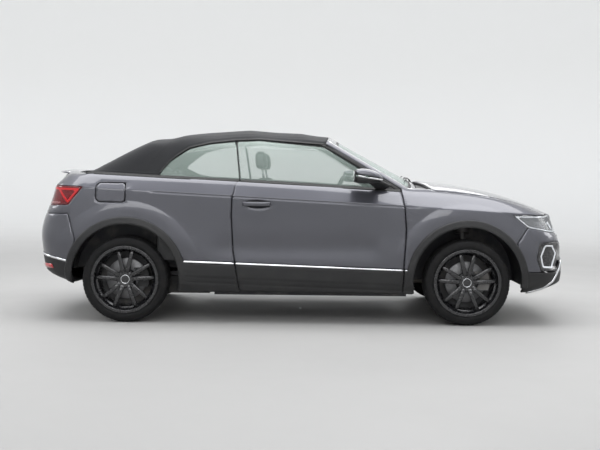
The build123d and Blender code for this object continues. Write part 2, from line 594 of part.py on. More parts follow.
parts["seat_left"] = [seat(SEAT_Y)]
parts["seat_right"] = [seat(-SEAT_Y)]
BENCH_HALF = 560.0
PAN_Z = 345.0
bench_x = cabin_rear_x + SHEET + 10 + REST_GAP
bench = side_prism([(bench_x, PAN_Z + FLOOR_T + REST_GAP), (bench_x + 500, PAN_Z + FLOOR_T + REST_GAP),
                    (bench_x + 540, 520), (bench_x + 150, 500), (bench_x + 90, 1040), (bench_x - 10, 1060)],
                   -BENCH_HALF, BENCH_HALF)
for y in (-300, 300):
    bench = bench + fillet(block(bench_x - 5, bench_x + 75, y - 120, y + 120, 1050, 1190).edges(), 20)
parts["rear_bench"] = [bench]

# ---------------------------------------------------------------- dashboard and steering wheel
DASH_HALF = 655.0
dash_front = firewall_x - REST_GAP
dash = side_prism([(dash_front, 640), (dash_front, 1024), (front(-620), 1040), (front(-800), 1000),
                   (front(-850), 900), (front(-800), 700), (front(-640), 640)], -DASH_HALF, DASH_HALF)
console = side_prism([(dash_front, FLOOR_Z + FLOOR_T + 110), (front(-560), 700), (front(-900), 620), (front(-1150), 560),
                      (front(-1150), FLOOR_Z + FLOOR_T + 110)], -105, 105)
STEERING_Y = 370.0
COLUMN_DEG = 24.0
STEERING_R = 182.0
steering_centre = (front(-985), STEERING_Y, 965.0)
column = (-math.cos(math.radians(COLUMN_DEG)), 0.0, math.sin(math.radians(COLUMN_DEG)))


def on_column(distance):
    """A point on the steering column, measured back towards the driver from the wheel's centre."""
    return tuple(c + distance * d for c, d in zip(steering_centre, column))


HUB_T = 60.0
dash = dash + console + rod(on_column(-260), on_column(-HUB_T / 2 - REST_GAP), 45)
parts["dashboard"] = [dash]
wheel_plane = Plane(steering_centre, z_dir=column)
steering = wheel_plane * Torus(STEERING_R, 15)
hub = rod(on_column(-HUB_T / 2), on_column(HUB_T / 2), 62)
across = Vector(0, 1, 0)
down = Vector(*column).cross(across)
centre = Vector(*steering_centre)
for direction in (across, across * -1, down if down.Z < 0 else down * -1):
    tip = centre + direction * (STEERING_R - 8)
    steering = steering + rod((centre.X, centre.Y, centre.Z), (tip.X, tip.Y, tip.Z), 13)
parts["steering_wheel"] = [steering + hub]

# ---------------------------------------------------------------- wheels and tyres
HUB_BORE_R = 20.05
STUB_R = 20.0
DISC_R = 158.0
DISC_T = 24.0
SPOKES = 10
SPOKE_PAIR_DEG = 11.0       # half the angle between the two spokes of a pair
RIM_T = 9.0
FACE_OUT = 70.0


def wheel():
    """Rim, spokes, hub and brake disc about the Y axis, with the outer side towards -Y."""
    half = RIM_W / 2
    flange, seat_r, well = RIM_D / 2, RIM_D / 2 - 17, RIM_D / 2 - 40
    path = [(half, flange), (half, seat_r), (half - 40, seat_r - 4), (half - 70, well), (-half + 60, well),
            (-half + 30, seat_r - 4), (-half, seat_r), (-half, flange)]
    inner = [(-half - RIM_T, flange), (-half - RIM_T, seat_r - RIM_T), (-half + 26, seat_r - 4 - RIM_T),
             (-half + 56, well - RIM_T), (half - 66, well - RIM_T), (half - 36, seat_r - 4 - RIM_T),
             (half + RIM_T, seat_r - RIM_T), (half + RIM_T, flange)]
    face = Face(Wire.make_polygon([(0, y, r) for y, r in path + inner], close=True))
    solid = Solid.revolve(face, 360, Axis((0, 0, 0), (0, 1, 0)))
    bell = cross_cylinder(0, 0, 78, -FACE_OUT - 12, 0)
    disc = cross_cylinder(0, 0, DISC_R, -DISC_T / 2, DISC_T / 2)
    hub = cross_cylinder(0, 0, 70, -FACE_OUT - 6, DISC_T / 2)
    solid = solid + disc + hub + bell
    spoke_out = -FACE_OUT - 18
    for n in range(SPOKES):
        turn = (n // 2) * 720 / SPOKES + (SPOKE_PAIR_DEG if n % 2 else -SPOKE_PAIR_DEG)
        bar = Solid.make_loft([
            Wire.make_polygon([(x, y, 58) for x, y in ((-13, spoke_out + 8), (13, spoke_out + 8), (16, -FACE_OUT + 24),
                                                       (-16, -FACE_OUT + 24))], close=True),
            Wire.make_polygon([(x, y, seat_r - 8) for x, y in ((-9, spoke_out - 12), (9, spoke_out - 12), (13, -FACE_OUT + 2),
                                                             (-13, -FACE_OUT + 2))], close=True)], ruled=True)
        solid = solid + bar.rotate(Axis.Y, turn)
    return solid - cross_cylinder(0, 0, HUB_BORE_R, -40, FAR)


def tyre():
    """Tread, two side walls and beads about the Y axis, open to the rim."""
    half, top = TYRE_W / 2, WHEEL_R
    bead = RIM_D / 2 - 17 + REST_GAP
    seat_half = RIM_W / 2 - REST_GAP
    outline = [(-seat_half, bead), (-seat_half, bead + 17), (-half, (bead + top) / 2 + 10), (-half + 6, top - 26),
               (-half + 24, top - 5), (-half + 52, top), (half - 52, top), (half - 24, top - 5), (half - 6, top - 26),
               (half, (bead + top) / 2 + 10), (seat_half, bead + 17), (seat_half, bead), (seat_half - 16, bead),
               (half - 14, (bead + top) / 2 + 6), (half - 34, top - 20), (-half + 34, top - 20),
               (-half + 14, (bead + top) / 2 + 6), (-seat_half + 16, bead)]
    face = Face(Wire.make_polygon([(0, y, r) for y, r in outline], close=True))
    return Solid.revolve(face, 360, Axis((0, 0, 0), (0, 1, 0)))


wheel_right, tyre_right = wheel(), tyre()
for name, x in arch_at.items():
    for side, sign in (("left", 1), ("right", -1)):
        place = Pos(x, sign * HALF_TRACK, WHEEL_R)
        parts[f"wheel_{name}_{side}"] = [place * (wheel_right if sign < 0 else wheel_right.mirror(Plane.XZ))]
        parts[f"tyre_{name}_{side}"] = [place * tyre_right]

# ---------------------------------------------------------------- knuckles and axles
STEER_LOW = (FRONT_AXLE, -690.0, 240.0)
STEER_TOP = (FRONT_AXLE, -565.0, 836.0)
steer_run = math.dist(STEER_LOW, STEER_TOP)
steer_axis = tuple((b - a) / steer_run for a, b in zip(STEER_LOW, STEER_TOP))


def on_steer(distance):
    return tuple(a + distance * d for a, d in zip(STEER_LOW, steer_axis))


HUB_GAP = 5.0
INNER_FACE = HALF_TRACK - DISC_T / 2 - HUB_GAP
stub = cross_cylinder(FRONT_AXLE, WHEEL_R, STUB_R, -HALF_TRACK - 38, -600)
carrier = block(FRONT_AXLE - 45, FRONT_AXLE + 45, -655, -600, WHEEL_R - 70, WHEEL_R + 95)
boss = cross_cylinder(FRONT_AXLE, WHEEL_R, 60, -INNER_FACE, -640)
CALIPER_R = (DISC_R - 62, DISC_R + 22)
caliper_ring = cross_cylinder(0, 0, CALIPER_R[1], -HALF_TRACK - DISC_T / 2 - 32, -INNER_FACE + 22) - \
    cross_cylinder(0, 0, CALIPER_R[0], -FAR, 0) - \
    cross_cylinder(0, 0, DISC_R + HUB_GAP, -HALF_TRACK - DISC_T / 2 - HUB_GAP, -INNER_FACE)
caliper = (Pos(0, 0, WHEEL_R) * caliper_ring) & block(60, 190, -FAR, 0, WHEEL_R - 60, WHEEL_R + 85)
BRACKET_Z = (WHEEL_R - 30, WHEEL_R + 30)
bracket = block(100, 150, -INNER_FACE + 15, -640, *BRACKET_Z) + block(30, 150, -665, -640, *BRACKET_Z)
knuckle = stub + carrier + boss + Pos(FRONT_AXLE, 0, 0) * (caliper + bracket)
knuckle = knuckle + rod(on_steer(0), on_steer(120), 26) + rod(on_steer(60), on_steer(steer_run), 24)
knuckle = knuckle + rod(on_steer(470), on_steer(steer_run - 8), 58)
parts["knuckle_left"] = [knuckle.mirror(Plane.XZ)]
parts["knuckle_right"] = [knuckle]

carrier_rear = block(REAR_AXLE - 45, REAR_AXLE + 45, -655, -600, WHEEL_R - 60, WHEEL_R + 60)
rear_hub = cross_cylinder(REAR_AXLE, WHEEL_R, STUB_R, -HALF_TRACK - 38, -600) + carrier_rear + \
    cross_cylinder(REAR_AXLE, WHEEL_R, 60, -INNER_FACE, -640) + \
    Pos(REAR_AXLE, 0, 0) * (caliper + bracket)
ARM_Y = 575.0
RAIL_LOW_Z = 385.0
arm = block(REAR_AXLE - 60, rear(430), -ARM_Y - 30, -ARM_Y + 30, WHEEL_R - 45, WHEEL_R + 5)
spring = Solid.make_cylinder(52, RAIL_LOW_Z - REST_GAP - WHEEL_R - 30, Plane((rear(60), -470, WHEEL_R + 30)))
half_axle = rear_hub + arm + block(rear(0), rear(90), -ARM_Y, 1, WHEEL_R - 30, WHEEL_R + 30) + spring
parts["rear_axle"] = [half_axle + half_axle.mirror(Plane.XZ)]

ball_seat = rod(on_steer(-30), on_steer(-REST_GAP), 30)
lower_arm = side_prism([(front(-60), 212), (front(60), 212), (front(60), 236), (front(-60), 236)], -660, -360)
SUBFRAME_TOP = 285.0
subframe = block(front(-220), front(220), -380, 0, 215, SUBFRAME_TOP) + lower_arm + (ball_seat + block(
    front(-28), front(28), -690, -650, 212, 222))
parts["front_subframe"] = [subframe + subframe.mirror(Plane.XZ)]

# ---------------------------------------------------------------- engine, tank and exhaust
parts["engine_block"] = [block(front(-130), front(330), -340, 340, SUBFRAME_TOP + REST_GAP, 860)]
parts["fuel_tank"] = [block(rear(240), rear(620), -530, -90, 190, PAN_Z - REST_GAP)]
PIPE_Z = 255.0
BOOT_FLOOR_Z = 430.0
EXHAUST_R = 27.0
tail_box = fillet(block(rear(-495), rear(-330), -180, 420, 316, BOOT_FLOOR_Z - REST_GAP).edges(), 30)
exhaust = rod((front(-240), 0, PIPE_Z), (rear(-200), 0, PIPE_Z), EXHAUST_R) + \
    rod((rear(-200), 0, PIPE_Z), (rear(-380), 0, PIPE_Z + 85), EXHAUST_R) + \
    Pos(rear(-200), 0, PIPE_Z) * Sphere(EXHAUST_R) + tail_box
parts["exhaust"] = [exhaust]

# ---------------------------------------------------------------- body tub
SILL_IN, SILL_OUT = 640.0, 722.0
TUNNEL_HALF = 100.0
TUNNEL_Z = 320.0
kick_x = rear(700)
BOOT_END = rear(-590)
tub = block(kick_x, firewall_x + 28, -SILL_OUT, SILL_OUT, FLOOR_Z, FLOOR_Z + FLOOR_T)
tub = tub + block(kick_x, firewall_x, -TUNNEL_HALF - SHEET / 2, TUNNEL_HALF + SHEET / 2, FLOOR_Z, TUNNEL_Z)
tub = tub + block(kick_x - SHEET, kick_x, -SILL_OUT, SILL_OUT, FLOOR_Z, PAN_Z + FLOOR_T)
tub = tub + block(cabin_rear_x, kick_x, -BENCH_HALF - 60, BENCH_HALF + 60, PAN_Z, PAN_Z + FLOOR_T)
tub = tub + block(cabin_rear_x, cabin_rear_x + SHEET, -BENCH_HALF - 60, BENCH_HALF + 60, PAN_Z, 1100)
tub = tub + block(BOOT_END, cabin_rear_x + SHEET, -560, 560, BOOT_FLOOR_Z, BOOT_FLOOR_Z + SHEET)
tub = tub + block(firewall_x, firewall_x + 28, -690, 690, FLOOR_Z, FRAME_LOW_Z)
tub = tub + block(firewall_x, cowl_x, -690, 690, 1000, FRAME_LOW_Z)
tub = tub + block(BOOT_END, BOOT_END + 20, -520, 520, 430, 820)

# The bar under the foot of the fabric top carries the boot lid's cheeks, and ends at the quarters.
foot_bar = block(LID_FRONT + 16, LID_FRONT + 76, -FAR, FAR, 1080, DECK_Z - 32) & loft(LEVELS, DOOR_T + REST_GAP)
for solid in lid_cheeks:
    foot_bar = foot_bar + solid
for solid in both(block(kick_x, firewall_x, -SILL_OUT, -SILL_IN, FLOOR_Z, 400)):
    tub = tub + solid
for solid in both(block(firewall_x, front(665), -430, -385, 430, 520)):
    tub = tub + solid
for solid in both(block(BOOT_END, cabin_rear_x, -500, -440, RAIL_LOW_Z, 440)):
    tub = tub + solid
tub = tub + block(front(625), front(665), -560, 560, 430, 700)
for solid in [side for leaf in body_leaves + [bonnet_bracket] for side in both(leaf)]:
    tub = tub + solid
ARCH_IN = {"front": 430.0, "rear": 560.0}
HOUSE_IN = {"front": PANEL_T + REST_GAP, "rear": DOOR_T + REST_GAP}
ARCH_SHELL = 14.0
HOUSE_LOW_Z = {"front": ARCH_Z - 30, "rear": WHEEL_R + 70}      # the rear arms pass under the rear ones
LINER_R = ARCH_R + LIP_W + 6
for name, x in arch_at.items():
    inner_y = ARCH_IN[name]
    shell = (arch(x, LINER_R + ARCH_SHELL, -FAR, -inner_y) - arch(x, LINER_R)) & loft(LEVELS, HOUSE_IN[name])
    wall = arch(x, LINER_R + ARCH_SHELL, -inner_y - SHEET, -inner_y)
    upper = block(-FAR, FAR, -FAR, 0, HOUSE_LOW_Z[name], FAR)
    house = (shell + wall) & upper
    if name == "front":
        tower = Solid.make_cylinder(90, 24, Plane(on_steer(steer_run + REST_GAP), z_dir=steer_axis))
        house = (house - rod(on_steer(200), on_steer(steer_run + 60), 78)) + tower
        house = house + (block(front(-90), front(90), -700, -inner_y, ARCH_Z + LINER_R, 862) - rod(
            on_steer(200), on_steer(steer_run + REST_GAP), 78))
    for solid in both(house):
        tub = tub + solid
tub = tub - block(kick_x - SHEET - 1, firewall_x + 29, -TUNNEL_HALF + SHEET / 2, TUNNEL_HALF - SHEET / 2, 0, TUNNEL_Z - SHEET)
parts["body_tub"] = [tub, foot_bar]

# ---------------------------------------------------------------- write the pieces
os.makedirs("parts", exist_ok=True)
for name, solids in parts.items():
    pieces = [piece for solid in solids for piece in solid.solids()]
    bad = [piece for piece in pieces if not piece.is_valid]
    print(f"{name:22s} {len(pieces)} solids, {sum(p.volume for p in pieces) / 1e6:9.2f} dm3", "BAD" if bad else "")
    export_step(pieces[0] if len(pieces) == 1 else Compound(children=pieces), f"parts/{name}.step")
print(len(parts), "nodes")
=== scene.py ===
"""Looks of a compact four-seat convertible car with a fabric top.

Sizes are in millimetres and `put` turns them to the frame's metres. +X runs to the nose,
+Y to the car's left, +Z up. The script runs from top to bottom in the order in which such a
car is put together: chassis, wheels, painted body, cladding, lamps, glass, top and cabin.
"""

import math

import bmesh
import bpy
import numpy as np
from mathutils import Matrix, Vector


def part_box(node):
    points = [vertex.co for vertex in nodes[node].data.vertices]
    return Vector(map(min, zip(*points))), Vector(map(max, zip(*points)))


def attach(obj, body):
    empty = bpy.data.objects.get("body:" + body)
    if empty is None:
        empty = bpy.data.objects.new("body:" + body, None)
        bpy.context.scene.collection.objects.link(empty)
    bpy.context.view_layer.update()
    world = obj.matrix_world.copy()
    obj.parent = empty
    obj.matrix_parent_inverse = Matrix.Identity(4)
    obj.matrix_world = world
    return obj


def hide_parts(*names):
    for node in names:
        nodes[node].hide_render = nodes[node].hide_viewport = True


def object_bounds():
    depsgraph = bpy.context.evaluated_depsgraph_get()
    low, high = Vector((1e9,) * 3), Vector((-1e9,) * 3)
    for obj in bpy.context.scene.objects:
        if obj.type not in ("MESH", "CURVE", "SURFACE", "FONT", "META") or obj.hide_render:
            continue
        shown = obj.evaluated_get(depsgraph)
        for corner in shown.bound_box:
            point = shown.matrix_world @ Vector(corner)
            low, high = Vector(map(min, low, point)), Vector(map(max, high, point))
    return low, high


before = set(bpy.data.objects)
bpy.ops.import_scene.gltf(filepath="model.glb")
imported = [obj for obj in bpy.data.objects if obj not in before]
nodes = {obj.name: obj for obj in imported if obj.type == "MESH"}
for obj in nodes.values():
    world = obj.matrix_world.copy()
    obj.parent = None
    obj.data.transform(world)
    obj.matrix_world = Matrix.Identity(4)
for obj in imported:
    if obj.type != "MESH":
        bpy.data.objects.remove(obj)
CAD_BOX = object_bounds()

# ------------------------------------------------------------------------------ studio
# A round pale floor that curves up into a wall, one long soft box over the car and a big
# fill on each side. None of it belongs to the car.
FLOOR_R = 13.0
SWEEP_R = 4.0
WALL_Z = 16.0
CAMERA_AT = (0.00625, -7.890, 1.140)
CAMERA_YAW, CAMERA_PITCH, CAMERA_ROLL = -0.002086, -0.05345, 0.010667
SENSOR = 36.0
FOCAL_PX, IMAGE_W = 919.03, 600.0


def studio_floor():
    """A profile turned about the upright axis: level out to FLOOR_R, a quarter circle of
    radius SWEEP_R, then straight up."""
    turn = np.linspace(0, math.pi / 2, 24)
    radius = np.concatenate([[0.01, 4.0, 8.0], FLOOR_R + SWEEP_R * np.sin(turn), [FLOOR_R + SWEEP_R]])
    z = np.concatenate([[0.0, 0.0, 0.0], SWEEP_R * (1 - np.cos(turn)), [WALL_Z]])
    angle = np.linspace(0, 2 * math.pi, 96, endpoint=False)[:, None]
    grid = np.stack(np.broadcast_arrays(radius * np.cos(angle), radius * np.sin(angle), z), axis=-1)
    return grid.reshape(-1, 3), grid_faces(*grid.shape[:2], True)[:, ::-1]


def grid_faces(rows, columns, wrap_rows=False, wrap_columns=False):
    """Quads between neighbours of a grid of points, row after row, closed where asked."""
    r = np.arange(rows if wrap_rows else rows - 1)[:, None]
    c = np.arange(columns if wrap_columns else columns - 1)[None, :]
    r2, c2 = (r + 1) % rows, (c + 1) % columns
    quads = [r * columns + c, r2 * columns + c, r2 * columns + c2, r * columns + c2]
    return np.stack(np.broadcast_arrays(*quads), axis=-1).reshape(-1, 4)


def new_object(name, points, faces, smooth=True):
    """A mesh object from an array of points in metres and an array of equal-sided faces."""
    mesh = bpy.data.meshes.new(name)
    mesh.vertices.add(len(points))
    mesh.vertices.foreach_set("co", np.asarray(points, np.float32).ravel())
    sides = faces.shape[1]
    mesh.loops.add(faces.size)
    mesh.loops.foreach_set("vertex_index", faces.astype(np.int32).ravel())
    mesh.polygons.add(len(faces))
    mesh.polygons.foreach_set("loop_start", np.arange(0, faces.size, sides, dtype=np.int32))
    mesh.polygons.foreach_set("use_smooth", np.full(len(faces), smooth))
    mesh.update(calc_edges=True)
    mesh.validate()
    thing = bpy.data.objects.new(name, mesh)
    bpy.context.scene.collection.objects.link(thing)
    return thing


class Value:
    """A shader socket that takes part in sums: each operator adds its Math node."""

    def __init__(self, finish, socket):
        self.finish, self.socket = finish, socket

    def maths(self, operation, *values):
        node = self.finish.node("Math", {"operation": operation}, *values)
        return Value(self.finish, node.outputs[0])

    def __add__(self, other):
        return self.maths("ADD", self, other)

    def __sub__(self, other):
        return self.maths("SUBTRACT", self, other)

    def __rsub__(self, other):
        return self.maths("SUBTRACT", other, self)

    def __mul__(self, other):
        return self.maths("MULTIPLY", self, other)

    def __pow__(self, other):
        return self.maths("POWER", self, other)

    def __gt__(self, other):
        return self.maths("GREATER_THAN", self, other)

    def __abs__(self):
        return self.maths("ABSOLUTE", self)

    __radd__, __rmul__ = __add__, __mul__

    def step(self, low, high, start=0.0, end=1.0):
        """A smooth change from start to end while the value runs from low to high."""
        node = self.finish.node("MapRange", {"interpolation_type": "SMOOTHSTEP"}, self, low, high, start, end)
        return Value(self.finish, node.outputs[0])


class Finish:
    """A material in the making, with one Principled shader."""

    def __init__(self, name, colour, roughness, **constants):
        self.material = bpy.data.materials.new(name)
        self.material.use_nodes = True
        self.tree = self.material.node_tree
        self.shader = self.tree.nodes["Principled BSDF"]
        self.set(**{"Base Color": colour, "Roughness": roughness})
        self.set(**{key.replace("_", " ").title().replace("Ior", "IOR"): value for key,
                    value in constants.items()})

    def node(self, kind, settings=None, *values, **named):
        """Any node: its settings first, then its sockets by place or by name."""
        node = self.tree.nodes.new("ShaderNode" + kind)
        for key, value in (settings or {}).items():
            setattr(node, key, value)
        for key, value in [*enumerate(values), *[(k.replace("_", " "), v) for k, v in named.items()]]:
            self.feed(node.inputs[key], value)
        return node

    def feed(self, socket, value):
        if isinstance(value, Value):
            value = value.socket
        if isinstance(value, bpy.types.NodeSocket):
            self.tree.links.new(value, socket)
        elif value is not None:
            if hasattr(socket.default_value,
                       "__len__") and len(socket.default_value) == 4 and len(value) == 3:
                value = (*value, 1.0)
            socket.default_value = value

    def set(self, **sockets):
        for key, value in sockets.items():
            self.feed(self.shader.inputs[key], value)

    def place(self):
        return self.node("TexCoord").outputs["Object"]

    def axes(self):
        """The place in metres, as three values."""
        split = self.node("SeparateXYZ", None, self.place())
        return [Value(self, out) for out in split.outputs]

    def noise(self, scale, detail=3.0, roughness=0.55, stretch=None, vector=None):
        vector = vector or self.place()
        if stretch:
            vector = self.node("Mapping", None, vector, None, None, stretch).outputs[0]
        return Value(self, self.node("TexNoise", None, vector, Scale=scale, Detail=detail,
                                     Roughness=roughness).outputs[0])

    def mix(self, factor, first, second):
        """A blend of two colours."""
        node = self.tree.nodes.new("ShaderNodeMix")
        node.data_type = "RGBA"
        for key, value in ((0, factor), (6, first), (7, second)):
            self.feed(node.inputs[key], value)
        return node.outputs[2]

    def bump(self, height, strength, distance):
        """Relief on the surface: height runs from 0 to 1 over a distance in metres."""
        before = self.shader.inputs["Normal"].links
        settings = {"Strength": strength, "Distance": distance, "Height": height}
        if before:
            settings["Normal"] = before[0].from_socket
        self.feed(self.shader.inputs["Normal"], self.node("Bump", None, **settings).outputs[0])


floor = new_object("studio_floor", *studio_floor())
floor_finish = Finish("studio_paper", (0.40, 0.397, 0.39), 0.7)
floor_x, floor_y, floor_z = floor_finish.axes()
# Painted light and shade: the floor's colour is darker near the car, where the soft boxes light it most, and
# much paler up the wall, standing in for light that the wall does not get.
painted_light_share = ((floor_x * floor_x + floor_y * floor_y) ** 0.5).step(4.5, FLOOR_R + SWEEP_R)
floor_finish.set(**{"Base Color": floor_finish.mix(painted_light_share, (0.34, 0.337, 0.33), (0.86, 0.86, 0.845))})
floor_finish.set(Roughness=floor_finish.noise(1.3).step(0.3, 0.7, 0.56, 0.64))
floor.data.materials.append(floor_finish.material)

yaw, pitch, roll = CAMERA_YAW, CAMERA_PITCH, CAMERA_ROLL
ahead = Vector((math.sin(yaw) * math.cos(pitch), math.cos(yaw) * math.cos(pitch), math.sin(pitch)))
level = Vector((math.cos(yaw), -math.sin(yaw), 0.0))
lift = level.cross(ahead)
camera_x = level * math.cos(roll) + lift * math.sin(roll)
camera_y = lift * math.cos(roll) - level * math.sin(roll)
camera = bpy.data.objects.new("camera", bpy.data.cameras.new("camera"))
bpy.context.scene.collection.objects.link(camera)
camera.matrix_world = Matrix.Translation(CAMERA_AT) @ Matrix((camera_x, camera_y,
                                                              -ahead)).transposed().to_4x4()
camera.data.sensor_width = SENSOR
camera.data.lens = FOCAL_PX / IMAGE_W * SENSOR
bpy.context.scene.camera = camera

# name, place, what it points at, width, height, watts
SOFT_BOXES = [
    ("overhead", (0.0, -0.6, 5.2), (0.0, 0.0, 0.0), 8.0, 3.4, 330.0),
    ("near_fill", (-1.0, -10.5, 6.5), (0.0, 0.0, 0.8), 9.0, 4.0, 330.0),
    ("far_fill", (0.5, 9.5, 6.5), (0.0, 0.0, 0.8), 9.0, 4.0, 300.0),
    ("nose_fill", (10.0, 0.5, 5.4), (0.0, 0.0, 0.6), 4.0, 3.5, 200.0),
    ("tail_fill", (-10.0, 0.5, 5.4), (0.0, 0.0, 0.6), 4.0, 3.5, 200.0),
]
for name, at, target, width, height, watts in SOFT_BOXES:
    light = bpy.data.objects.new(name, bpy.data.lights.new(name, "AREA"))
    light.data.shape, light.data.size, light.data.size_y = "RECTANGLE", width, height
    light.data.energy = watts
    light.location = at
    light.rotation_euler = (Vector(target) - Vector(at)).to_track_quat("-Z", "Y").to_euler()
    bpy.context.scene.collection.objects.link(light)
world = bpy.data.worlds.new("studio")
world.use_nodes = True
world.node_tree.nodes["Background"].inputs[0].default_value = (0.93, 0.95, 1.0, 1.0)
world.node_tree.nodes["Background"].inputs[1].default_value = 1.1
bpy.context.scene.world = world
bpy.context.scene.view_settings.view_transform = "Standard"

# ------------------------------------------------------------------------------ chassis
# Pressed steel tub, cast knuckles and axles, an alloy engine and the exhaust. They keep
# their own shape, and show through the wheel arches, under the car and with the lids open.
KEPT_FACES, KEPT_SHARE = 2000, 0.20     # triangles that stay of a dense mesh, and the share of its others


def thin_out(piece, triangles):
    """Merges the triangles of a dense mesh where it is nearly flat, as a modifier."""
    if triangles > KEPT_FACES:
        thinner = piece.modifiers.new("thinner", "DECIMATE")
        thinner.ratio = (KEPT_FACES + KEPT_SHARE * (triangles - KEPT_FACES)) / triangles


def put(name, points, faces, body, slot, material, replaced=(), smooth=True):
    """A new piece of the car from points in millimetres, riding on a body."""
    piece = new_object(name, np.asarray(points, float) / 1000.0, faces, smooth)
    thin_out(piece, len(faces) * (faces.shape[1] - 2))
    piece.data.materials.append(material)
    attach(piece, body)
    if replaced:
        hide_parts(*replaced)
    return piece


def metal(name, colour, roughness, metallic, grain, relief):
    """Cast or sheet metal: grain sized mottling, patches of dust and a fine relief."""
    finish = Finish(name, colour, roughness, metallic=metallic)
    mottle = finish.noise(grain, 4.0)
    dust = finish.noise(7.0, 3.0).step(0.45, 0.75)
    dark = tuple(c * 0.6 for c in colour)
    finish.set(**{"Base Color": finish.mix(dust * 0.35, finish.mix(mottle, dark, colour),
                                           (0.16, 0.145, 0.13))})
    finish.set(Roughness=mottle.step(0.2, 0.8, roughness - 0.08, roughness + 0.12))
    finish.bump(mottle, 0.4, relief)
    return finish.material


CHASSIS = {
    # node: name, colour, roughness, metallic, grain per metre, relief in metres
    "body_tub": ("seam_sealed_steel", (0.035, 0.036, 0.04), 0.5, 0.3, 60.0, 0.0006),
    "front_subframe": ("pressed_steel", (0.05, 0.05, 0.052), 0.5, 0.6, 90.0, 0.0004),
    "rear_axle": ("axle_iron", (0.045, 0.045, 0.046), 0.6, 0.6, 160.0, 0.0008),
    "knuckle_left": ("knuckle_iron", (0.22, 0.215, 0.21), 0.5, 0.8, 160.0, 0.0006),
    "engine_block": ("cast_alloy", (0.35, 0.35, 0.36), 0.5, 0.9, 220.0, 0.0008),
    "exhaust": ("exhaust_steel", (0.32, 0.30, 0.27), 0.42, 0.95, 40.0, 0.0003),
    "fuel_tank": ("tank_plastic", (0.018, 0.018, 0.02), 0.55, 0.0, 120.0, 0.0004),
}


def refinish(node, material):
    """A part that keeps its shape takes a new material."""
    nodes[node].data.materials.clear()
    nodes[node].data.materials.append(material)


for node, row in CHASSIS.items():
    refinish(node, metal(*row))
refinish("knuckle_right", nodes["knuckle_left"].data.materials[0])

# ------------------------------------------------------------------------------ tyres
# Low rubber tyres on 19-inch rims: four grooves round the tread, cross cuts that end in
# them, rounded shoulders and plain side walls with fine ribs. They are pressed on the rims.
SIDES = (("left", 1), ("right", -1))
AXLES = {end: (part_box(f"tyre_{end}_left")[0].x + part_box(f"tyre_{end}_left")[1].x) * 500
         for end in ("front", "rear")}
WHEEL_R = (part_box("tyre_front_left")[1].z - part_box("tyre_front_left")[0].z) * 500
TRACK_HALF = (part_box("tyre_front_left")[0].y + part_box("tyre_front_left")[1].y) * 500
TYRE_HALF = (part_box("tyre_front_left")[1].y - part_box("tyre_front_left")[0].y) * 500
SEAT_R = 241.5
SEAT_HALF = 102.0
GROOVE_Y = (-60.0, -21.0, 21.0, 60.0)
GROOVE_W = 9.0
GROOVE_D = 7.0
TREAD_CUTS = 64


def smooth_path(points, count, closed=False):
    """A Catmull-Rom curve through a list of points, sampled evenly along its control points."""
    points = np.asarray(points, float)
    if closed:
        points = np.concatenate([points[-1:], points, points[:2]])
    else:
        points = np.concatenate([2 * points[:1] - points[1:2], points, 2 * points[-1:] - points[-2:-1]])
    u = np.linspace(0, len(points) - 3, count, endpoint=not closed)
    k = np.minimum(u.astype(int), len(points) - 4)
    t = (u - k)[:, None]
    a, b, c, d = (points[k + n] for n in range(4))
    return 0.5 * (2 * b + (c - a) * t + (2 * a - 5 * b + 4 * c - d) * t ** 2 + (3 * b - a - 3 * c + d) *
                  t ** 3)


def turned(profile, segments, phase=0.0):
    """A profile of (radius, y) points carried round the wheel's axle, as a grid of points."""
    angle = np.linspace(0, 2 * math.pi, segments, endpoint=False)[:, None] + phase
    radius, y = profile[None, :, 0], profile[None, :, 1]
    return np.stack([radius * np.sin(angle), y + 0 * angle, radius * np.cos(angle)], axis=-1)


def turned_mesh(profile, segments):
    """A closed profile, listed so that its outside faces out, turned into a ring."""
    grid = turned(profile, segments)
    return grid.reshape(-1, 3), grid_faces(segments, len(profile), True, True)[:, ::-1]


def tyre_mesh():
    """The outline's outer side is a smooth curve, its tread lowered by a bell-shaped groove
    at each groove's place and by cross cuts that repeat round the tyre."""
    half, top = TYRE_HALF, WHEEL_R
    outer = smooth_path([(SEAT_R + 0.5, -SEAT_HALF), (SEAT_R + 20, -SEAT_HALF - 3), (top - 54, -half + 1),
                         (top - 28, -half + 4), (top - 10, -half + 14), (top - 2.5, -half + 30)], 24)
    y = np.linspace(-half + 30, half - 30, 84)
    crown = top - 2.5 * (y / (half - 30)) ** 4
    tread = np.stack([crown, y], axis=1)[1:-1]
    side = np.concatenate([outer, tread, outer[::-1] * (1, -1)])
    inside = np.array([(SEAT_R + 0.5, SEAT_HALF - 15), (top - 34, half - 16), (top - 20, half - 40),
                       (top - 20, -half + 40), (top - 34, -half + 16), (SEAT_R + 0.5, -SEAT_HALF + 15)])
    profile = np.concatenate([side, inside])
    segments = TREAD_CUTS * 6
    grid = turned(profile, segments)
    radius = np.hypot(grid[..., 0], grid[..., 2])
    groove = sum(np.exp(-((profile[:, 1] - at) / (GROOVE_W / 2)) ** 4) for at in GROOVE_Y)
    depth = np.where(profile[:, 0] > top - 12, GROOVE_D * groove, 0.0)[None, :]
    outside = (np.abs(profile[:, 1]) > 64) & (np.abs(profile[:, 1]) < half - 8) & (profile[:, 0] > top - 14)
    cut = (np.arange(segments) % 6 == 0)[:, None] & outside[None, :]
    depth = depth + np.where(cut, 4.0, 0.0)
    wall = (np.abs(profile[:, 1]) > SEAT_HALF - 2) & (profile[:, 0] < top - 30)
    rib = np.where(wall & (profile[:, 0] > SEAT_R + 24), 0.5 * np.sin(profile[:, 0] * 1.1), 0.0)
    grid[..., 1] += np.sign(profile[:, 1])[None, :] * rib[None, :]
    grid *= np.where(radius > 0, (radius - depth) / radius, 1.0)[..., None] * (1, 0, 1) + (0, 1, 0)
    return grid.reshape(-1, 3), grid_faces(segments, len(profile), True, True)[:, ::-1]


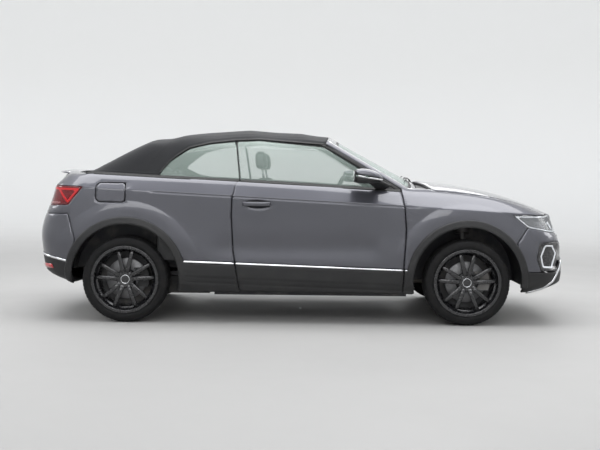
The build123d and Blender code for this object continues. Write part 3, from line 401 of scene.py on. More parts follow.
rubber = Finish("tyre_rubber", (0.008, 0.008, 0.0085), 0.7, specular_ior_level=0.22)
rubber_dust = rubber.noise(18.0, 4.0)
rubber.set(**{"Base Color": rubber.mix(rubber_dust.step(0.4, 0.8), (0.006, 0.006, 0.0065),
                                       (0.015, 0.0145, 0.014))})
rubber.set(Roughness=rubber_dust.step(0.2, 0.8, 0.58, 0.82))
rubber.bump(rubber.noise(900.0, 2.0), 0.25, 0.0003)
tyre_points, tyre_faces = tyre_mesh()
for end, axle in AXLES.items():
    for side, sign in SIDES:
        centre = (axle, sign * TRACK_HALF, WHEEL_R)
        name = f"{end}_{side}"
        put(f"tyre_rubber_{name}", tyre_points + centre, tyre_faces, f"wheel_{name}", "tyre",
            rubber.material, [f"tyre_{name}"])

# ------------------------------------------------------------------------------ wheels
# Gloss black alloy wheels, cast in one piece: a rolled barrel, ten slim spokes in five
# pairs, five bolts, and a hub cap with a bright ring. A grey brake disc turns behind them,
# in front of a dust shield.
RIM_R = 258.0
RIM_HALF = 102.5
HUB_R = 66.0
CAP_R = 33.0
PAIRS = 5
PAIR_SPREAD = math.radians(14.0)
SPOKE_FACE = -86.0          # outer face of the spokes, from the middle of the rim, outwards
DISC_R = 158.0


def joined(*meshes):
    """Several (points, faces) meshes as one."""
    points, faces, count = [], [], 0
    for some_points, some_faces in meshes:
        points.append(np.asarray(some_points, float).reshape(-1, 3))
        faces.append(some_faces + count)
        count += len(points[-1])
    return np.concatenate(points), np.concatenate(faces)


def swept(sections):
    """A tube through a stack of closed sections, with both ends closed by a fan of quads."""
    sections = np.asarray(sections, float)
    rings, sides = sections.shape[:2]
    faces = grid_faces(rings, sides, False, True)
    k = np.arange(sides // 2 - 1)
    low = np.stack([k, k + 1, sides - 2 - k, sides - 1 - k], axis=1)
    return sections.reshape(-1, 3), np.concatenate([faces, low, low[:, ::-1] + (rings - 1) * sides])


def rounded_section(width, depth, sides=16, power=4.0):
    """A closed section like a rounded box: a superellipse, as (across, outwards) points."""
    turn = np.linspace(0, 2 * math.pi, sides, endpoint=False) + math.pi / sides
    c, s = np.cos(turn), np.sin(turn)
    r = (np.abs(c) ** power + np.abs(s) ** power) ** (-1 / power)
    return np.stack([r * c * width / 2, r * s * depth / 2], axis=1)


def spoke_mesh():
    """Sections along the radius: a rounded box that narrows outwards, bowed towards the
    outside, and flares where it meets the rim."""
    radius = np.linspace(HUB_R - 14, SEAT_R - 4, 22)
    t = (radius - radius[0]) / (radius[-1] - radius[0])
    width = 38 - 9 * t + 14 * np.clip(t - 0.82, 0, 1) ** 1.5 * 6
    depth = 34 - 12 * t
    face = SPOKE_FACE - 9 * np.sin(math.pi * t) + 3 * t
    section = np.stack([rounded_section(w, d) for w, d in zip(width, depth)])
    grid = np.stack([section[..., 0], (face + depth / 2)[:, None] + section[..., 1],
                     radius[:, None] + 0 * section[..., 0]],
                    axis=-1)
    return swept(grid[:, ::-1])


def about_axle(points, angle):
    c, s = math.cos(angle), math.sin(angle)
    return points @ np.array([(c, 0, -s), (0, 1, 0), (s, 0, c)])


def barrel_mesh():
    """Rim flanges, bead seats and well as one closed profile, turned."""
    half, well = RIM_HALF, SEAT_R - 26
    outside = [(RIM_R, -half - 9), (RIM_R + 1, -half - 4), (RIM_R, -half), (SEAT_R + 2, -half),
               (SEAT_R - 4, -half + 32),
               (well, -half + 62), (well, half - 70), (SEAT_R - 4, half - 34), (SEAT_R + 2, half),
               (RIM_R, half), (RIM_R + 1, half + 4), (RIM_R, half + 9)]
    inside = [(SEAT_R - 6, half + 7), (SEAT_R - 12, half - 30), (well - 8, half - 62), (well - 8, -half + 58),
              (SEAT_R - 12, -half + 30), (SEAT_R - 5, -half - 6), (SEAT_R + 6, -half - 8)]
    return turned_mesh(smooth_path(outside + inside, 96, True), 120)


def disc_of(profile, segments=72):
    """A solid turned about the axle from an open (radius, y) profile. Each open end is closed
    by a small ring of quads across the axle."""
    profile = np.asarray(profile, float)
    grid = turned(profile, segments)
    faces = grid_faces(segments, len(profile), True)[:, ::-1]
    k = np.arange(segments // 2 - 1)
    caps = np.stack([k, k + 1, segments - 2 - k, segments - 1 - k], axis=1) * len(profile)
    return grid.reshape(-1, 3), np.concatenate([faces, caps, caps[:, ::-1] + len(profile) - 1])


def wheel_mesh():
    """Barrel, spokes in pairs, and a hub with a dished face."""
    parts = [barrel_mesh()]
    spoke_points, spoke_faces = spoke_mesh()
    for pair in range(PAIRS):
        for way in (-1, 1):
            angle = pair * 2 * math.pi / PAIRS + way * PAIR_SPREAD
            parts.append((about_axle(spoke_points, angle), spoke_faces))
    hub = smooth_path([(4, SPOKE_FACE + 14), (CAP_R, SPOKE_FACE + 13), (CAP_R + 4, SPOKE_FACE + 2),
                       (HUB_R - 6, SPOKE_FACE + 3), (HUB_R + 3, SPOKE_FACE + 14),
                       (HUB_R + 5, SPOKE_FACE + 44), (HUB_R + 8, -20), (4, -18)], 60)
    parts.append(disc_of(hub))
    return joined(*parts)


gloss_black = Finish("gloss_black_lacquer", (0.010, 0.010, 0.0115), 0.22, metallic=0.2, coat_weight=0.8,
                     coat_roughness=0.06)
lacquer_tone = gloss_black.noise(30.0, 3.0)
gloss_black.set(Roughness=lacquer_tone.step(0.3, 0.75, 0.18, 0.34))
gloss_black.bump(gloss_black.noise(420.0, 2.0), 0.06, 0.0003)
brake_steel = Finish("brake_steel", (0.20, 0.20, 0.205), 0.45, metallic=1.0)
brake_steel.set(Roughness=brake_steel.noise(60.0, 4.0).step(0.3, 0.7, 0.38, 0.6))
brake_steel.bump(brake_steel.noise(240.0, 3.0), 0.2, 0.0002)
bright_trim = Finish("bright_trim", (0.72, 0.73, 0.75), 0.16, metallic=1.0)
bright_trim.set(Roughness=bright_trim.noise(45.0, 3.0).step(0.3, 0.8, 0.12, 0.26))
bright_trim.bump(bright_trim.noise(300.0, 2.0), 0.05, 0.0002)

SHIELD_R = 204.0
shield_profile = [(62, 24), (150, 24), (SHIELD_R - 10, 30), (SHIELD_R, 24), (SHIELD_R + 2, 25),
                  (SHIELD_R - 8, 33), (150, 27), (62, 27)]
shield_mesh = disc_of(shield_profile, 96)
wheel_points, wheel_faces = wheel_mesh()
disc_profile = [(60, -12), (DISC_R - 1.5, -12), (DISC_R, -10.5), (DISC_R, -4), (DISC_R - 7, -4),
                (DISC_R - 7, 4), (DISC_R, 4), (DISC_R, 10.5), (DISC_R - 1.5, 12), (60, 12)]
brake_mesh = disc_of(disc_profile, 96)
cap_ring = turned_mesh(smooth_path([(CAP_R - 4, SPOKE_FACE + 3), (CAP_R - 1, SPOKE_FACE),
                                    (CAP_R + 2, SPOKE_FACE + 3), (CAP_R - 1, SPOKE_FACE + 8)], 16, True), 64)
cap_face = disc_of(smooth_path([(2, SPOKE_FACE + 1), (CAP_R * 0.6, SPOKE_FACE + 1.6),
                                (CAP_R - 3, SPOKE_FACE + 3),
                                (CAP_R - 2, SPOKE_FACE + 10), (2, SPOKE_FACE + 10)], 24), 48)
bolt_section = np.array([(8.5 * math.sin(n * math.pi / 3), 8.5 * math.cos(n * math.pi / 3))
                         for n in range(6)])
bolt_rings = np.stack([np.stack([bolt_section[:, 0] * k, np.full(6, y), bolt_section[:, 1] * k + 52], axis=1)
                       for k, y in ((1, SPOKE_FACE + 20), (1, SPOKE_FACE + 5), (0.86, SPOKE_FACE + 3))])
bolt_mesh = swept(bolt_rings[:, ::-1])
bolts = joined(*[(about_axle(bolt_mesh[0], (n + 0.5) * 2 * math.pi / PAIRS), bolt_mesh[1])
                 for n in range(PAIRS)])
for end, axle in AXLES.items():
    for side, sign in SIDES:
        centre = np.array((axle, sign * TRACK_HALF, WHEEL_R))
        body = f"wheel_{end}_{side}"

        def at_hub(mesh):
            """The wheel's outer side looks away from the car, and its faces keep facing out."""
            points, faces = mesh
            return points * (1, -sign, 1) + centre, faces[:, ::-1] if sign > 0 else faces

        put(f"alloy_{end}_{side}", *at_hub((wheel_points, wheel_faces)), body, "wheel_paint",
            gloss_black.material, [body])
        put(f"brake_disc_{end}_{side}", *at_hub(brake_mesh), body, "cast_steel", brake_steel.material)
        put(f"cap_ring_{end}_{side}", *at_hub(cap_ring), body, "wheel_paint", bright_trim.material)
        put(f"hub_cap_{end}_{side}", *at_hub(cap_face), body, "wheel_paint", gloss_black.material)
        put(f"wheel_bolts_{end}_{side}", *at_hub(bolts), body, "wheel_paint", brake_steel.material)
        carrier = f"knuckle_{side}" if end == "front" else "body"
        put(f"dust_shield_{end}_{side}", *at_hub(shield_mesh), carrier, "cast_steel",
            nodes["front_subframe"].data.materials[0])

# ------------------------------------------------------------------------------ doors
# Two long doors of pressed steel, painted dark grey metallic under clear coat, each hung on
# two leaves at its front edge. Their skin, and all other painted panels, are cut from one
# smooth body surface, so that lines and reflections run on from panel to panel.
NOSE, TAIL = CAD_BOX[1].x * 1000, CAD_BOX[0].x * 1000
FRONT_AXLE, REAR_AXLE = AXLES["front"], AXLES["rear"]
CLADDING_PROUD = 12.0
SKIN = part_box("arch_cladding")[1].y * 1000 - CLADDING_PROUD
BELT_SLOPE = -0.049
# Levels of the body from the bottom up: height, fall per mm along the car, then insets of the
# side and the nose, the front corner (back, y), the front of the side (back, in), the rear of
# the side (forward, in), the rear corner (forward, y), the tail, and the softness of the turn.
BODY_LEVELS = np.array([
    (230, -0.008, 45, 300, 340, 480, 560, 95, 620, 95, 480, 480, 430, 30),
    (330, -0.010, 14, 20, 75, 560, 360, 42, 400, 42, 120, 600, 55, 50),
    (450, -0.030, 0, 5, 66, 585, 350, 16, 380, 16, 98, 620, 28, 60),
    (590, -0.030, 2, 0, 68, 588, 353, 16, 366, 16, 84, 634, 8, 45),
    (690, -0.029, 9, 6, 80, 594, 360, 22, 364, 20, 92, 636, 16, 70),
    (880, -0.042, 6, 42, 160, 600, 444, 49, 404, 45, 178, 628, 120, 60),
    (954, BELT_SLOPE, 6, 50, 200, 600, 500, 64, 430, 58, 200, 640, 140, 9),
    (1073, BELT_SLOPE, 78, 330, 430, 480, 690, 175, 560, 132, 300, 560, 180, 45),
    (1180, BELT_SLOPE, 240, 600, 700, 350, 950, 330, 620, 300, 350, 430, 230, 40),
    (1400, BELT_SLOPE, 882, 1500, 1500, 4, 1600, 882, 900, 882, 900, 4, 900, 40),
], float)
ROUND_PLAN = (0.0, 600.0, 1030.0, 4580.0, 5010.0,
              5660.0)       # lengths round the plan at its five arcs' ends
CORNER_PULL = 0.42
PLAN_BLEND = 70.0
SHOULDER_R = 20.0
SHUT = 2.5                  # half a shut line


def soft_lines(at, knots, values, softness):
    """Straight lines through the knots, each bend rounded by a parabola as wide as its
    softness on both sides: a start plus the first slope, plus a soft ramp at each knot."""
    slopes = np.diff(values) / np.diff(knots)
    total = values[0] + slopes[0] * (at - knots[0])
    for knot, change, soft in zip(knots[1:-1], np.diff(slopes), softness[1:-1]):
        t = at - knot
        total = total + change * np.where(np.abs(t) < soft, (t + soft) ** 2 / (4 * soft), np.maximum(t, 0.0))
    return total


def parabola(t, a, middle, b):
    """A curve from a to b that passes the middle half way."""
    return (1 - t) ** 2 * a + 2 * t * (1 - t) * (2 * middle - (a + b) / 2) + t ** 2 * b


def low_of(a, b, radius):
    """The lower of two heights, with a rounded change from one to the other."""
    return (a + b - np.sqrt((a - b) ** 2 + radius ** 2)) / 2


def rise(t):
    t = np.clip(t, 0.0, 1.0)
    return t * t * (3 - 2 * t)


class Shell:
    """Half of a car body's surface. s goes round it in plan from the nose to the tail, and h
    goes up it. At each h five parabolas pass the level's corners; a weighted mean over
    PLAN_BLEND rounds their joints, the level's fall is added, and a ceiling cuts it off."""

    def __init__(self, levels, lengths, ceiling, shoulder):
        self.levels, self.lengths, self.ceiling, self.shoulder = levels, lengths, ceiling, shoulder

    def columns(self, h):
        table = self.levels
        return [soft_lines(h, table[:, 0], table[:, k], table[:, -1]) for k in range(1, table.shape[1] - 1)]

    def plan(self, s, nose, fc_x, fc_y, fs_x, fs_y, side_y, rs_x, rs_y, rc_x, rc_y, tail):
        """The point of the plan at s, by the arc in which it lies, mirrored past both ends."""
        end = self.lengths[-1]
        way = np.where((s < 0) | (s > end), -1.0, 1.0)
        s = end - np.abs(end - np.abs(s))
        kf = ((fc_x + fs_x) / 2 + CORNER_PULL * (fc_x - fs_x) / 2,
              (fc_y + fs_y) / 2 + CORNER_PULL * (fs_y - fc_y) / 2)
        kr = ((rc_x + rs_x) / 2 + CORNER_PULL * (rc_x - rs_x) / 2,
              (rc_y + rs_y) / 2 + CORNER_PULL * (rs_y - rc_y) / 2)
        share = [(s - a) / (b - a) for a, b in zip(self.lengths, self.lengths[1:])]
        n, m = share[0], 1 - share[4]
        x = [fc_x + (nose - fc_x) * (1 - n ** 2), parabola(share[1], fc_x, kf[0], fs_x),
             parabola(share[2], fs_x, (fs_x + rs_x) / 2, rs_x), parabola(share[3], rs_x, kr[0], rc_x),
             rc_x + (tail - rc_x) * (1 - m ** 2)]
        y = [fc_y * n, parabola(share[1], fc_y, kf[1], fs_y), parabola(share[2], fs_y, side_y, rs_y),
             parabola(share[3], rs_y, kr[1], rc_y), rc_y * m]
        inside = [s <= b for b in self.lengths[1:-1]]
        return np.select(inside, x[:4], x[4]), way * np.select(inside, y[:4], y[4])

    def __call__(self, s, h):
        s, h = np.broadcast_arrays(s, h)
        slope, *columns = self.columns(h)
        offsets = np.linspace(-1, 1, 9)[1:-1]
        weights = np.cos(offsets * math.pi / 2) ** 2
        x = y = 0.0
        for offset, weight in zip(offsets, weights / weights.sum()):
            px, py = self.plan(s + offset * PLAN_BLEND, *columns)
            x, y = x + weight * px, y + weight * py
        z = h + slope * x
        return np.stack([x, y, low_of(z, self.ceiling(x, y), self.shoulder(x))], axis=-1)


def body_levels(table):
    """Insets from the body's overall sizes become places, in the order that Shell takes."""
    h, slope, side, nose, fc, fc_y, fs, fs_in, rs, rs_in, rc, rc_y, tail, soft = table.T
    return np.stack([h, slope, NOSE - nose, NOSE - fc, fc_y, NOSE - fs, SKIN - fs_in, SKIN - side,
                     TAIL + rs, SKIN - rs_in, TAIL + rc, rc_y, TAIL + tail, soft], axis=1)


COWL_AT, BONNET_MIDDLE, BONNET_NOSE = (870.0, 1106.0), (1545.0, 1030.0), (2001.0, 884.0)
BONNET_R, DECK_R, DECK_Z = 4300.0, 7500.0, 1174.0


def top_of_body(x, y):
    """The bonnet is a parabola along the car through three points, and the deck is level;
    both fall to the sides as a circle does. Over the cabin there is no ceiling."""
    (x0, z0), (x1, z1), (x2, z2) = COWL_AT, BONNET_MIDDLE, BONNET_NOSE
    first = (z1 - z0) / (x1 - x0)
    bend = ((z2 - z1) / (x2 - x1) - first) / (x2 - x0)
    bonnet = z0 + first * (x - x0) + np.where(x > x0, bend * (x - x0) * (x - x1),
                                              0.0) - y ** 2 / (2 * BONNET_R)
    bonnet = bonnet + 300.0 * rise((x0 - 60 - x) / 200)
    bonnet = bonnet + 5.0 * rise((np.abs(y) - 330) / 110) * rise((2050 - x) / 300)     # raised outer thirds
    deck = DECK_Z - y ** 2 / (2 * DECK_R) + 40.0 * rise((x - REAR_AXLE + 390) / 180)
    return np.where(x > 0, bonnet, deck)


def body_shoulder(x):
    return SHOULDER_R


body_shell = Shell(body_levels(BODY_LEVELS), ROUND_PLAN, top_of_body, body_shoulder)
around = np.concatenate([np.linspace(0, 600, 52)[:-1], np.linspace(600, 1030, 44)[:-1],
                         np.linspace(1030, 4580, 275)[:-1],
                         np.linspace(4580, 5010, 44)[:-1], np.linspace(5010, 5660, 56)])
upward = np.concatenate([np.linspace(230, 938, 92)[:-1], np.linspace(938, 970, 13)[:-1],
                         np.linspace(970, 1073, 15)[:-1],
                         np.linspace(1073, 1180, 17)[:-1], np.linspace(1180, 1398, 58)])
skin = body_shell(around[:, None], upward[None, :])


FLARE_R, FLARE_FALL, FLARE_OUT = 500.0, 96.0, 12.0
HOLLOW, HOLLOW_Z = 15.0, 585.0
LINE_H = 949.0


def flare(points):
    """Swellings over the wheel arches, level to FLARE_R and then falling as a parabola to a
    crisp foot; a hollow along the door's lower half, bell-shaped in height; and a groove
    under the shoulder line between the two wheels."""
    x, z = points[..., 0], points[..., 2]
    out = 0.0
    for axle in (FRONT_AXLE, REAR_AXLE):
        radius = np.hypot(x - axle, z - WHEEL_R - 10)
        over = rise((z - 470) / 210) * rise((1010 - z) / 90)
        out = out + FLARE_OUT * (1 - np.clip((radius - FLARE_R) / FLARE_FALL, 0,
                                             1) ** 2) * over * (radius < 700)
    between = rise((x - REAR_AXLE - 560) / 260) * rise((FRONT_AXLE - 600 - x) / 200)
    out = out - HOLLOW * np.exp(-((z - HOLLOW_Z) / 78) ** 2) * between
    line = rise((x - REAR_AXLE - 150) / 120) * rise((FRONT_AXLE - 350 - x) / 90)
    return out - 5.0 * np.exp(-((z - BELT_SLOPE * x - LINE_H) / 6.0) ** 2) * line


def outward(grid):
    """Unit normals of a grid of points, from the differences between neighbours."""
    across = np.cross(np.gradient(grid, axis=0), np.gradient(grid, axis=1))
    return across / np.maximum(np.linalg.norm(across, axis=-1, keepdims=True), 1e-9)


skin = skin + flare(skin)[..., None] * np.array([0.0, 1.0, 0.0]) * (skin[..., 1:2] > 500)
skin_out = outward(skin)


def inside(outline, a, b):
    """Signed distance to a closed outline, positive inside: the least distance to its edges,
    with the sign turned over at each edge that a ray crosses."""
    outline = np.asarray(outline, float)
    least, within = np.full(np.shape(a), 1e9), np.zeros(np.shape(a), bool)
    for (a0, b0), (a1, b1) in zip(outline, np.roll(outline, -1, axis=0)):
        da, db = a1 - a0, b1 - b0
        t = np.clip(((a - a0) * da + (b - b0) * db) / (da * da + db * db), 0, 1)
        least = np.minimum(least, np.hypot(a - a0 - t * da, b - b0 - t * db))
        crosses = (b0 > b) != (b1 > b)
        within ^= crosses & (a < a0 + (b - b0) * da / (db if db else 1.0))
    return np.where(within, least, -least)


def cut_out(grid, keep, edge=4.0, proud=0.0, out=None):
    """The part of a grid of points where keep is positive, as points and triangles.

    Each grid edge that the outline crosses moves its nearer end onto the outline. A cell with
    all corners inside gives two triangles, and one with three gives one. The edge is turned
    in by a round of that radius, and the whole is lifted along the normals by proud."""
    points, gap = grid.copy(), keep.copy()
    share = np.full(keep.shape, 0.5)
    for axis in (0, 1):
        for shift in (1, -1):
            near, there = np.roll(keep, shift, axis), np.roll(grid, shift, axis)
            crossing = (keep > 0) != (near > 0)
            border = [slice(None), slice(None)]
            border[axis] = 0 if shift == 1 else -1
            crossing[tuple(border)] = False
            t = np.where(crossing, np.abs(keep) / np.maximum(np.abs(keep) + np.abs(near), 1e-9), 1.0)
            closer = t <= share
            points = np.where(closer[..., None], grid + t[..., None] * (there - grid), points)
            gap = np.where(closer, 0.0, gap)
            share = np.where(closer, t, share)
    if out is not None:
        turn = np.clip(edge - gap, 0, edge)
        drop = edge - np.sqrt(edge ** 2 - turn ** 2)
        points = points + out * (proud - np.minimum(drop, edge * 0.8))[..., None]
    rows, columns = keep.shape
    quads = grid_faces(rows, columns)
    held = (gap.ravel() >= 0)[quads]
    whole = quads[held.all(axis=1)]
    faces = [whole[:, [0, 1, 2]], whole[:, [0, 2, 3]]]
    for missing in range(4):
        others = [k for k in range(4) if k != missing]
        three = held[:, others].all(axis=1) & ~held[:, missing]
        faces.append(quads[three][:, others])
    faces = np.concatenate(faces)
    used, faces = np.unique(faces, return_inverse=True)
    return points.reshape(-1, 3)[used], faces.reshape(-1, 3)


def mirrored(mesh):
    points, faces = mesh
    return points * (1, -1, 1), faces[:, ::-1]


def thicken(piece, thickness):
    """Gives a sheet its thickness inwards, as a modifier."""
    solid = piece.modifiers.new("thickness", "SOLIDIFY")
    solid.thickness = thickness / 1000.0
    solid.offset = -1.0
    return piece


def merge_seam(piece):
    """Joins the two halves of a mesh along the middle of the car."""
    work = bmesh.new()
    work.from_mesh(piece.data)
    bmesh.ops.remove_doubles(work, verts=work.verts, dist=0.0002)
    work.to_mesh(piece.data)
    work.free()
    return piece


# Lines of the side view, as (x, z) points, from the rear forward or from the top down.
BELT = [(REAR_AXLE - 410, 1152.3), (REAR_AXLE - 218, 1142), (REAR_AXLE + 174, 1122), (REAR_AXLE + 874, 1095),
        (FRONT_AXLE - 1293, 1073), (FRONT_AXLE - 907, 1050), (FRONT_AXLE - 521, 1028),
        (FRONT_AXLE - 450, 1024)]
DOOR_REAR = [(REAR_AXLE + 860, 1095), (REAR_AXLE + 820, 973), (REAR_AXLE + 814, 836), (REAR_AXLE + 830, 560),
             (REAR_AXLE + 880, 245)]
DOOR_FRONT = [(FRONT_AXLE - 506, 1028), (FRONT_AXLE - 487, 903), (FRONT_AXLE - 474, 735),
              (FRONT_AXLE - 489, 444), (FRONT_AXLE - 493, 236)]
STRIP = [(REAR_AXLE + 447, 476), (REAR_AXLE + 906, 462), (FRONT_AXLE - 429, 422)]
STRIP_W = 16.0


def height_on(line, x):
    """Height of a side-view line at places along the car."""
    line = sorted(line)
    return np.interp(x, [p[0] for p in line], [p[1] for p in line])


x_at, y_at, z_at = skin[..., 0], skin[..., 1], skin[..., 2]
strip_z = height_on(STRIP, x_at)
belt_z = height_on(BELT, x_at)
door_side = [*DOOR_REAR[::-1][:-1], (REAR_AXLE + 862, 1200), (FRONT_AXLE - 510, 1200), *DOOR_FRONT]
door_cut = np.minimum(inside(door_side, x_at, z_at) - SHUT, belt_z - z_at)
HANDLE_X = (REAR_AXLE + 900.0, REAR_AXLE + 1118.0)
HANDLE_Z = 922.0
HANDLE_HALF = 96.0
# The grip's recess: a shallow oval dish behind the handle.
dish = ((x_at - sum(HANDLE_X) / 2 - 8) / 96) ** 2 + ((z_at - HANDLE_Z + 5) / 36) ** 2
door_skin = skin - skin_out * (24.0 * rise(1.2 - dish) * (y_at > 500))[..., None]

paint = Finish("dark_grey_metallic", (0.075, 0.076, 0.090), 0.34, metallic=0.6, coat_weight=1.0,
               coat_roughness=0.035)
flake = paint.node("TexVoronoi", {"feature": "F1"}, None, None, 2600.0)
paint.feed(flake.inputs["Vector"], paint.place())
sparkle = Value(paint, flake.outputs["Distance"]).step(0.0, 0.6, 1.0, 0.0)
cloud = paint.noise(2.2, 3.0)
paint.set(**{"Base Color": paint.mix(sparkle * 0.35,
                                     paint.mix(cloud, (0.066, 0.067, 0.080), (0.076, 0.077, 0.092)),
                                     (0.15, 0.15, 0.175))})
paint.set(Roughness=cloud.step(0.3, 0.7, 0.34, 0.40))
paint.bump(paint.noise(85.0, 2.0), 0.03, 0.0004)

black_plastic = Finish("grained_black_plastic", (0.020, 0.020, 0.021), 0.5, specular_ior_level=0.45)
plastic_grain = black_plastic.noise(620.0, 3.0)
plastic_wear = black_plastic.noise(5.0, 4.0)
black_plastic.set(**{"Base Color": black_plastic.mix(plastic_wear.step(0.35, 0.8), (0.012, 0.012, 0.013),
                                                     (0.022, 0.022, 0.022))})
black_plastic.set(Roughness=plastic_wear.step(0.2, 0.8, 0.42, 0.6))
black_plastic.bump(plastic_grain, 0.35, 0.0003)
seal_rubber = Finish("seal_rubber", (0.008, 0.008, 0.008), 0.55)
seal_tone = seal_rubber.noise(70.0, 3.0)
seal_rubber.set(Roughness=seal_tone.step(0.2, 0.8, 0.45, 0.7))
seal_rubber.bump(seal_tone, 0.1, 0.0003)
trim_cloth = Finish("door_trim_plastic", (0.022, 0.022, 0.023), 0.6)
trim_grain = trim_cloth.noise(500.0, 3.0)
trim_cloth.set(Roughness=trim_grain.step(0.2, 0.8, 0.5, 0.72))
trim_cloth.bump(trim_grain, 0.4, 0.0004)


def panel(name, keep, body, slot, finish, thickness, replaced=(), both=False, edge=4.0, proud=0.0, grid=None,
          side=None):
    """A sheet cut from the body's surface, on one side or on both in one piece."""
    mesh = cut_out(skin if grid is None else grid, keep, edge, proud, skin_out)
    if both:
        mesh = joined(mesh, mirrored(mesh))
    elif side == "right":
        mesh = mirrored(mesh)
    piece = put(name, *mesh, body, slot, finish.material, replaced)
    if both:
        merge_seam(piece)
    return thicken(piece, thickness)


SILL_GROOVES = (118.0, 158.0)


def sill_grooves(z_top):
    """Two level grooves on the cladding, bell-shaped, and a step back under the upper one."""
    fall = z_top - z_at
    grooves = sum(np.exp(-((fall - at) / 7.0) ** 2) for at in SILL_GROOVES)
    return -4.5 * grooves - 4.0 * rise((fall - SILL_GROOVES[0]) / 16)


grooved = skin + skin_out * sill_grooves(strip_z)[..., None]
above_strip = z_at - strip_z - STRIP_W / 2
below_strip = strip_z - STRIP_W / 2 - z_at
strip_band = STRIP_W / 2 - np.abs(z_at - strip_z)
handle_path = smooth_path([(HANDLE_X[0], -2.0), (HANDLE_X[0] + 16, 16.0), (HANDLE_X[0] + 60, 27.0),
                           (HANDLE_X[1] - 60, 28.0), (HANDLE_X[1] - 16, 18.0), (HANDLE_X[1], -2.0)], 40)


def handle_mesh(wall_y):
    """A grip: a rounded bar along the door that bows out of the dish and back into it."""
    sections = []
    for x, out in handle_path:
        section = rounded_section(31.0, 13.0, 12, 3.0)
        sections.append(np.stack([np.full(12, x), wall_y + out + section[:, 1], HANDLE_Z + section[:, 0]],
                                 axis=1))
    return swept(np.array(sections))


for side, sign in SIDES:
    turn = mirrored if sign < 0 else (lambda mesh: mesh)
    body = f"door_{side}"
    panel(f"door_skin_{side}", np.minimum(door_cut, above_strip), body, "paint", paint, 26.0,
          [f"door_{side}"], grid=door_skin, side=side)
    panel(f"door_cladding_{side}", np.minimum(door_cut, below_strip), body, "paint", black_plastic, 14.0,
          edge=3.0, proud=CLADDING_PROUD, grid=grooved, side=side)
    panel(f"door_strip_{side}", np.minimum(door_cut, strip_band), body, "paint", bright_trim, 8.0, edge=5.0,
          proud=CLADDING_PROUD + 3.0, side=side)
    inner = skin - skin_out * 62.0
    panel(f"door_inner_{side}", np.minimum(door_cut - 9, np.minimum(z_at - 300, belt_z - 6 - z_at)), body,
          "paint", trim_cloth, 36.0, grid=inner, side=side)
    wall = SKIN - 9.0
    # A black rubber gasket round the grip, partly a real gasket and partly painted shadow: its dark band
    # stands in for the shade that the grip casts round its edges.
    panel(f"handle_gasket_painted_shadow_{side}", 19.0 - np.hypot(np.maximum(np.abs(x_at - sum(HANDLE_X) / 2) - HANDLE_HALF,
                                                              0),
                                                   z_at - HANDLE_Z), body, "paint", seal_rubber, 3.0,
          edge=1.5, proud=1.0, grid=skin - skin_out * 4.0, side=side)
    put(f"door_handle_{side}", *turn(handle_mesh(wall)), body, "paint", paint.material)

# ------------------------------------------------------------------------------ wings and quarters
# Front wings and rear quarter panels of pressed steel, welded or bolted to the tub, painted
# like the doors. The quarters run up to the foot of the fabric top and round to the lamps.
ARCH_Z = WHEEL_R + 10.0
ARCH_R = WHEEL_R + 84.0
CLADDING_W = 57.0
front_arch = np.hypot(x_at - FRONT_AXLE, z_at - ARCH_Z)
rear_arch = np.hypot(x_at - REAR_AXLE, z_at - ARCH_Z)
BONNET_PLAN = [(FRONT_AXLE - 330, -1), (FRONT_AXLE - 300, 400), (FRONT_AXLE - 255, 712),
               (FRONT_AXLE + 200, 692),
               (FRONT_AXLE + 480, 640), (FRONT_AXLE + 640, 560), (NOSE + 50, 560), (NOSE + 50, -1)]
BONNET_LOW_Z = 860.0
HEADLAMP = [(FRONT_AXLE + 348, 853), (NOSE + 50, 853), (NOSE + 50, 722), (FRONT_AXLE + 666, 722),
            (FRONT_AXLE + 468, 756)]
HEADLAMP_IN = 470.0
TAIL_LAMP = [(REAR_AXLE - 333, 1040), (REAR_AXLE - 444, 902), (TAIL - 50, 888), (TAIL - 50, 1060)]
LID_HALF = 542.0
LID_FRONT = REAR_AXLE - 429.0
LID_LOW_Z = 838.0
FRONT_SHUT = [(FRONT_AXLE + 360, 0), (FRONT_AXLE + 380, 640), (FRONT_AXLE + 462, 754)]
REAR_SHUT = [(REAR_AXLE - 385, 0), (REAR_AXLE - 385, 640), (REAR_AXLE - 442, 832)]
FLAP_X = (REAR_AXLE - 229.0, REAR_AXLE - 4.0)
FLAP_Z = (925.0, 1073.0)
FLAP_R, HINGE_R, HOLE_R = 38.0, 24.0, 10.0        # corners at the rear, and at the hinge of flap and hole
FOOT_Z = 248.0
bonnet_cut = np.minimum(inside(BONNET_PLAN, x_at, y_at), z_at - BONNET_LOW_Z)
headlamp_cut = np.minimum(inside(HEADLAMP, x_at, z_at), y_at - HEADLAMP_IN)
tail_lamp_cut = np.minimum(inside(TAIL_LAMP, x_at, z_at), y_at - LID_HALF)
lid_cut = np.minimum(np.minimum(LID_HALF - y_at, LID_FRONT - x_at), z_at - LID_LOW_Z)


def rounded_cut(x0, x1, z0, z1, radius):
    """Distance to the edge of a rectangle with round corners in the side view."""
    core = [(x0 + radius, z0 + radius), (x1 - radius, z0 + radius), (x1 - radius, z1 - radius),
            (x0 + radius, z1 - radius)]
    return inside(core, x_at, z_at) + radius


